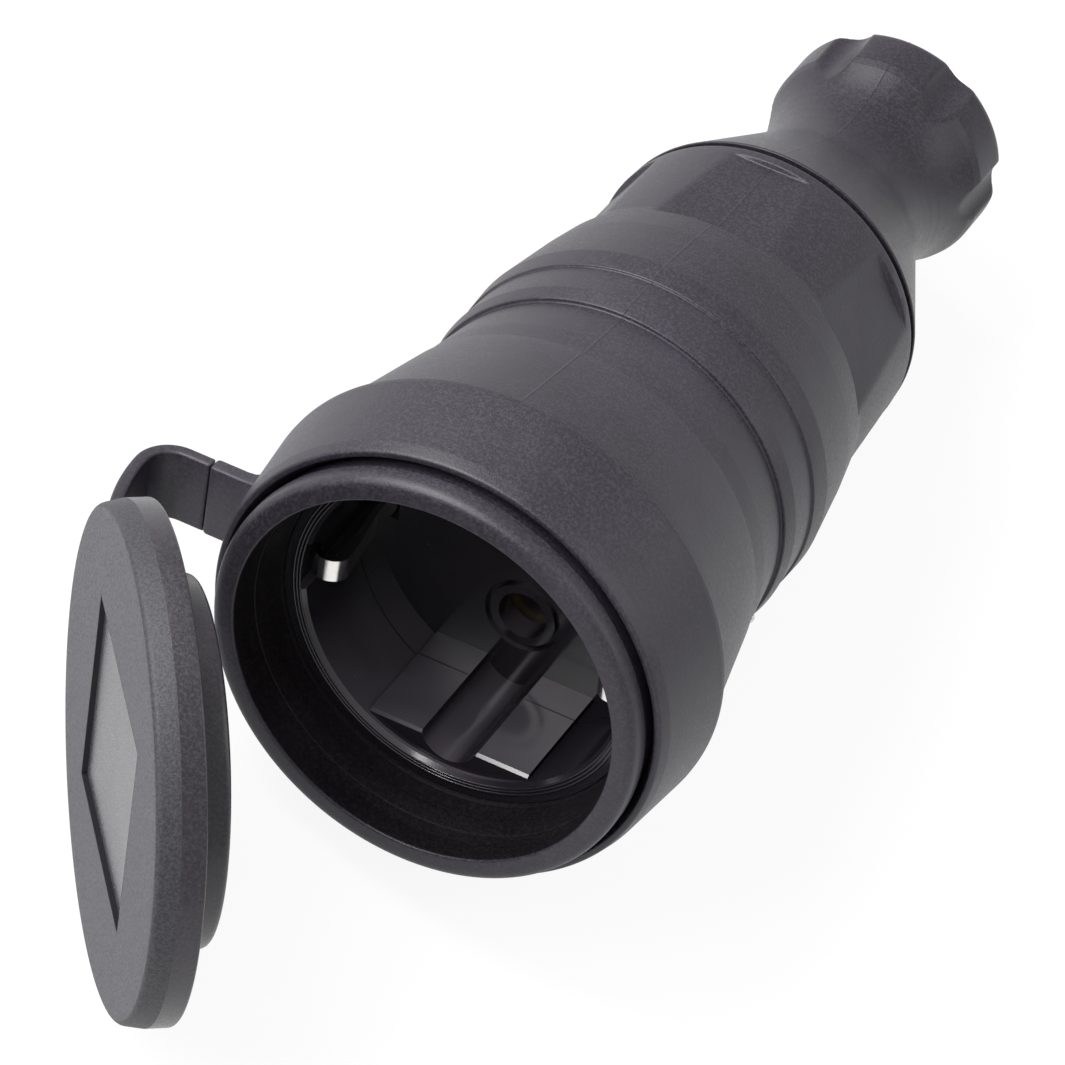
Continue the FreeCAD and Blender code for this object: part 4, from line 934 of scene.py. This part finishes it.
@dataclass
class Strap:
    """The flat strap that bends from the lug to the lid."""

    half_width: float = 5.0
    half_thickness: float = 0.8
    start: tuple[float, float] = (-35.75, -15.0)
    bend: float = 4.0
    reach: float = 42.95
    depth: float = 15.0
    rounding: float = 0.45
    lid_radius: float = 29.6
    lid_gap: float = 0.25
    lead: tuple[float, ...] = (0.0, -0.15, -0.6, -1.5)
    bend_steps: int = 12
    run_steps: int = 24
    thin_start: float = 0.82
    fold_start: tuple[float, float, float] = (-43.0, 0.0, -13.0)
    fold_end: tuple[float, float, float] = (-38.4, 0.0, 3.4)

    def line(self, socket: Socket) -> list[Vector]:
        """Trace the strap's middle line.

        Args:
            socket: The connector's axes.

        Returns:
            Points from the lug to the lid.
        """
        inverse = socket.place.inverted() @ socket.lid_place
        last = inverse @ Vector((-self.lid_radius - self.lid_gap, 0.0, self.half_thickness))
        heading = (inverse @ Vector((0.0, 0.0, self.half_thickness)) - last).normalized()
        points = [Vector((self.start[0] + dx, 0.0, self.start[1])) for dx in self.lead]
        centre = Vector((-self.reach + self.bend, 0.0, -self.depth + self.bend))
        for k in range(self.bend_steps + 1):
            a = math.radians(90.0 * k / self.bend_steps)
            points.append(centre + Vector((-math.sin(a), 0.0, -math.cos(a))) * self.bend)
        begin = points[-1].copy()
        third = (last - begin).length / 3
        poles = [begin, begin + Vector((0.0, 0.0, third)), last - heading * third, last]
        for k in range(1, self.run_steps + 1):
            t = k / self.run_steps
            points.append(poles[0] * (1 - t) ** 3 + poles[1] * (3 * t * (1 - t) ** 2)
                          + poles[2] * (3 * t * t * (1 - t)) + poles[3] * t ** 3)
        return points

    def build(self, socket: Socket, finish: bpy.types.Material) -> bpy.types.Object:
        """Make the strap.

        Args:
            socket: The connector's axes.
            finish: Its rubber.

        Returns:
            The piece, a fixed bend between the housing and the lid, riding on neither.
        """
        points = self.line(socket)
        section = resample(bar(self.half_width, self.half_thickness, self.rounding), 1.3)
        side = Vector((0.0, 1.0, 0.0))
        rows = []
        for i, point in enumerate(points):
            along = (points[min(i + 1, len(points) - 1)] - points[max(i - 1, 0)]).normalized()
            out = along.cross(side).normalized()
            thin = self.thin_start if i == 0 else 1.0
            rows.append([point + side * a + out * (b * thin) for a, b in section])
        mesh = Mesh()
        mesh.cap(rows[0], flip=True)
        mesh.ring_grid(rows, False, True)
        mesh.cap(rows[-1])
        piece = mesh.make("strap_rubber", socket.place, [finish], 50.0)
        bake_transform(piece)
        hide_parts("lid_strap")
        return piece


@dataclass
class Lid:
    """The round lid: smooth rim, pebbled face with a sunken diamond, and the plug behind."""

    radius: float = 29.6
    face_radius: float = 29.1
    bevel_at: float = 2.9
    thickness: float = 5.66
    plug_radius: float = 21.0
    plug_length: float = 4.3
    hollow_radius: float = 17.6
    diamond: tuple[float, float] = (18.3, 18.7)
    diamond_turn: float = 45.0
    diamond_depth: float = 0.6
    diamond_wall: float = 0.25
    diamond_wall_rows: int = 4
    plug_floor: float = 2.2
    face_start: float = 26.0
    level: float = 0.02
    step: float = 1.5
    tab: tuple[float, ...] = (-29.85, -29.7, -28.6)
    tab_half_width: float = 5.0
    tab_thickness: float = 1.6

    def diamond_radius(self, angle: float, inset: float = 0.0) -> float:
        """Find the diamond's edge.

        Args:
            angle: The way from the centre, in radians.
            inset: How far inside the edge.

        Returns:
            The distance from the centre.
        """
        a, b = self.diamond
        angle -= math.radians(self.diamond_turn)
        c, s = abs(math.cos(angle)), abs(math.sin(angle))
        return (1 - inset / math.hypot(a, b) * (a / b + b / a)) / (c / a + s / b)

    def outline(self) -> Profile:
        """Trace the lid from the plug's hollow round the rim to the face.

        Returns:
            Radius and height for each point.
        """
        deep = -self.plug_length
        corners = [
            (0.0, deep + self.plug_floor, 0.0), (self.hollow_radius, deep + self.plug_floor, 0.5),
            (self.hollow_radius + 0.2, deep, 0.5), (self.plug_radius, deep, 0.9),
            (self.plug_radius + 0.1, 0.0, 0.4), (self.radius, 0.0, 0.4),
            (self.radius, self.bevel_at, 0.2), (self.face_radius, self.thickness, 0.9),
            (self.face_start, self.thickness, 0.0),
        ]
        return resample(soften(corners, closed=False)[1:], 2.4, closed=False)

    def diamond_rows(self) -> Profile:
        """List the rows of the sunken diamond's edge.

        Returns:
            How far in and how far down each row lies.
        """
        wall, depth = self.diamond_wall, self.diamond_depth
        return [(-0.25, 0.0), (-0.06, 0.0), (0.02, 0.06), (wall - 0.04, depth - 0.06),
                (wall + 0.05, depth), (wall + 0.3, depth)]

    def slot_of(self, row: int, outline: Profile) -> int:
        """Choose the material slot of the faces after a row.

        Args:
            row: The row's number.
            outline: The lid's outline, which the first rows follow.

        Returns:
            The slot.
        """
        heights = [z for _, z in outline]
        if row < sum(z < self.bevel_at + self.level for z in heights) - 1:
            return LidSlot.RIM
        # The sloping band between rim and face takes the darker bevel slot, painted shade.
        if row < sum(z < self.thickness - self.level for z in heights) - 1:
            return LidSlot.BEVEL
        if row < len(outline):
            return LidSlot.FACE
        # The rows round the diamond's edge take the near-black slot, painted shade; the floor inside takes
        # the panel slot.
        return LidSlot.SHADED_WALL if row < len(outline) + self.diamond_wall_rows else LidSlot.PANEL

    def build(self, socket: Socket, finishes: Sequence[bpy.types.Material]) -> bpy.types.Object:
        """Make the lid.

        Args:
            socket: The connector's axes.
            finishes: Its materials, in the order of LidSlot.

        Returns:
            The piece, riding on the lid.
        """
        angles = [math.radians(self.step * i) for i in range(round(360 / self.step))]
        outline = self.outline()
        rows = [[Vector((r * math.cos(a), r * math.sin(a), z)) for a in angles] for r, z in outline]
        for inset, drop in self.diamond_rows():
            rows.append([Vector((math.cos(a), math.sin(a), 0.0)) * self.diamond_radius(a, inset)
                         + Vector((0.0, 0.0, self.thickness - drop)) for a in angles])
        mesh = Mesh()
        mesh.cap(rows[0], LidSlot.RIM)
        mesh.ring_grid(rows, False, True, lambda row: self.slot_of(row, outline))
        mesh.cap(rows[-1], LidSlot.PANEL, flip=True)
        section = [(a, b + self.tab_thickness / 2)
                   for a, b in bar(self.tab_half_width, self.tab_thickness / 2, 0.4)]
        tab = [[Vector((x, a, b)) for a, b in section] for x in self.tab]
        mesh.cap(tab[0], LidSlot.RIM, flip=True)
        mesh.ring_grid(tab, False, True, lambda row: LidSlot.RIM)
        mesh.cap(tab[-1], LidSlot.RIM)
        piece = mesh.make("lid_rubber", socket.lid_place, finishes, 38.0)
        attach(piece, "lid")
        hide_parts("sealing_lid")
        return piece


@dataclass
class GlandNut:
    """The gland nut: flange, dome, waist and a bell end with six scallops."""

    seams: tuple[float, float] = (90.5, 270.5)
    scallops_at: float = 0.0
    scallop_radius: float = 4.0
    scallop_floor: float = 13.2
    scallop_blend: float = 0.18
    seam_height: float = 0.03
    seam_half_width: float = 0.2
    dome: tuple[float, float] = (87.8, 102.0)
    dome_inside: float = 13.6
    waist_inside: float = 11.8
    bell_start: float = 113.0
    bell_inside: float = 12.2

    CORNERS = (
        (87.2, 13.08, 0.0), (87.2, 20.6, 0.3), (87.55, 20.58, 0.25), (103.0, 13.34, 0.0),
        (104.3, 12.86, 0.0), (106.0, 12.41, 0.0), (107.8, 12.11, 0.0), (109.7, 12.0, 0.0),
        (111.6, 12.09, 0.0), (113.4, 12.37, 0.0), (115.2, 12.83, 0.0), (116.8, 13.44, 0.0),
        (118.2, 14.1, 0.8), (119.3, 14.45, 1.2), (125.7, 14.45, 1.7), (125.7, 11.05, 1.0),
        (110.1, 6.5, 1.5), (101.1, 6.5, 0.0), (101.1, 10.8, 0.0), (96.2, 10.8, 0.0),
        (96.2, 13.08, 0.0),
    )

    def radius(self, depth: float, radius: float, angle: float) -> float:
        """Shape the scallops and the mould lines into the turned outside.

        Args:
            depth: Depth behind the lip.
            radius: The plain radius there.
            angle: Degrees round the axis.

        Returns:
            The shaped radius.
        """
        shaped = radius
        dome_start, dome_end = self.dome
        outside = radius > self.waist_inside and depth > dome_end
        if outside and depth > self.bell_start and radius > self.bell_inside:
            off = off_sixth(angle, self.scallops_at)
            centre = self.scallop_floor + self.scallop_radius
            across = self.scallop_radius ** 2 - (centre * math.sin(off)) ** 2
            if across > 0:
                shaped = smooth_less(radius, centre * math.cos(off) - math.sqrt(across),
                                     self.scallop_blend)
        if outside or (radius > self.dome_inside and dome_start < depth <= dome_end):
            for seam in self.seams:
                off = off_seam(angle, seam) * math.radians(1) * shaped
                if off < self.seam_half_width:
                    shaped += self.seam_height * (1 - ease(off, 0.0, self.seam_half_width))
        return shaped

    def build(self, socket: Socket, finish: bpy.types.Material) -> bpy.types.Object:
        """Make the nut.

        Args:
            socket: The connector's axes.
            finish: Its rubber.

        Returns:
            The piece, riding on the nut.
        """
        mesh = Mesh()
        outline = resample(soften(self.CORNERS, 8), 0.9)
        turned(mesh, outline, steps_round(ROUND_STEPS, self.seams, 2.0, 0.25), self.radius)
        piece = mesh.make("nut_moulding", socket.place, [finish], 35.0)
        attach(piece, "nut")
        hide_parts("gland_nut")
        return piece


# Studio.


@dataclass(frozen=True)
class Light:
    """A soft rectangular lamp, placed by the camera's own directions."""

    name: str
    side: float
    above: float
    toward: float
    size: tuple[float, float]
    power: float

    def build(self, target: Vector, right: Vector, up: Vector, back: Vector) -> None:
        """Hang the lamp and aim it.

        Args:
            target: What it lights.
            right: The camera's right.
            up: The camera's up.
            back: From the target towards the camera.
        """
        lamp = bpy.data.lights.new(self.name, "AREA")
        lamp.shape = "RECTANGLE"
        lamp.size, lamp.size_y = self.size
        lamp.energy = self.power
        thing = bpy.data.objects.new(self.name, lamp)
        where = target + right * self.side + up * self.above + back * self.toward
        aim = (target - where).to_track_quat("-Z", "Y")
        thing.matrix_world = Matrix.Translation(where) @ aim.to_matrix().to_4x4()
        bpy.context.scene.collection.objects.link(thing)


@dataclass
class Studio:
    """Camera, lamps, floor and surroundings."""

    eye: tuple[float, float, float] = (296.8, 662.9, 714.0)
    eye_right: tuple[float, float, float] = (0.88139, 0.11741, -0.45757)
    eye_up: tuple[float, float, float] = (-0.37541, 0.76205, -0.52759)
    lens: float = 304.2
    sensor: float = 36.0
    clip: tuple[float, float] = (0.05, 20.0)
    aim_depth: float = 45.0
    around: float = 0.62
    floor_white: float = 0.93
    floor_mottle: float = 0.01
    floor_lift: float = 0.9
    floor_half: float = 6.0
    lamps: tuple[Light, ...] = (
        Light("key_softbox", -0.3, 0.62, 0.35, (0.7, 0.5), 5.5),
        Light("side_softbox", 0.7, 0.15, 0.3, (0.4, 0.7), 1.4),
        Light("front_softbox", -0.5, 0.26, 0.83, (0.42, 0.42), 7.0),
        Light("mouth_softbox", -0.29, 0.65, 0.70, (0.25, 0.25), 4.0),
    )

    def build(self, socket: Socket) -> None:
        """Set up the studio round the connector.

        Args:
            socket: The connector's axes.
        """
        right = socket.along(*self.eye_right)
        up = socket.along(*self.eye_up)
        back = right.cross(up).normalized()
        up = back.cross(right).normalized()
        data = bpy.data.cameras.new("camera")
        data.lens = self.lens
        data.sensor_width = self.sensor
        data.sensor_fit = "AUTO"
        data.clip_start, data.clip_end = self.clip
        camera = bpy.data.objects.new("camera", data)
        turn = Matrix((right, up, back)).transposed().to_4x4()
        camera.matrix_world = Matrix.Translation(socket.at(*self.eye)) @ turn
        bpy.context.scene.collection.objects.link(camera)
        bpy.context.scene.camera = camera
        target = socket.at(0.0, 0.0, -self.aim_depth)
        for lamp in self.lamps:
            lamp.build(target, right, up, back)
        self.floor()
        self.world()
        bpy.context.scene.view_settings.view_transform = "Standard"

    def floor(self) -> None:
        """Lay a wide pale floor that looks nearly white but keeps a light shadow."""
        tree = Tree("floor_paint")
        mottle = tree.noise(8.0, 3.0)
        colour = tree.blend(mottle, (self.floor_white,) * 3,
                            (self.floor_white - self.floor_mottle,) * 3)
        plain = tree.node("ShaderNodeBsdfPrincipled", {},
                          {"Base Color": colour, "Roughness": 0.9, "Specular IOR Level": 0.0})
        white = tree.node("ShaderNodeEmission", {}, {"Color": (1.0, 1.0, 1.0, 1.0), "Strength": 1.0})
        rays = tree.node("ShaderNodeLightPath", {}, {}).outputs
        seen = (Sock(tree, rays["Is Camera Ray"]) + Sock(tree, rays["Is Glossy Ray"])
                + Sock(tree, rays["Is Transmission Ray"])).at_most(1.0)
        both = tree.node("ShaderNodeMixShader", {},
                         {0: seen * self.floor_lift, 1: plain.outputs[0], 2: white.outputs[0]})
        tree.node("ShaderNodeOutputMaterial", {}, {"Surface": both.outputs[0]})
        low, half = CAD_BOX[0][2], self.floor_half
        mesh = Mesh()
        corners = (-half, -half), (half, -half), (half, half), (-half, half)
        mesh.cap([Vector((x, y, low)) for x, y in corners])
        piece = mesh.make("floor", Matrix.Identity(4), [tree.material])

    def world(self) -> None:
        """Surround the scene with even light."""
        world = bpy.data.worlds.new("surroundings")
        world.use_nodes = True
        sky = world.node_tree.nodes["Background"]
        sky.inputs["Color"].default_value = (1.0, 1.0, 1.0, 1.0)
        sky.inputs["Strength"].default_value = self.around
        bpy.context.scene.world = world


def main() -> None:
    """Dress the connector and set up the studio."""
    logging.basicConfig(level=logging.INFO, format="%(name)s: %(message)s")
    socket = Socket()
    paints = {slot: finish.build() for slot, finish in FINISHES.items()}
    slots = {part["node"]: part["material_slot"] for part in frame["record"]["subparts"]}
    for name, thing in frame["nodes"].items():
        paint = paints[Paint(slots[name])]
        thing.data.materials.clear()
        thing.data.materials.append(paint)
    rubber = paints[Paint.RUBBER]
    pieces = [
        Housing().build(socket, rubber, MOUTH_SHADE.build()),
        Collar().build(socket, rubber),
        Strap().build(socket, rubber),
        Lid().build(socket, [finish.build() for finish in LID_FINISHES.values()]),
        GlandNut().build(socket, paints[Paint.NUT]),
    ]
    pieces += InsertTrim().build(socket, paints[Paint.INSERT], CREVICE.build())
    Studio().build(socket)
    for piece in pieces:
        LOG.info("%s: %d faces", piece.name, len(piece.data.polygons))


if __name__ == "__main__":
    main()
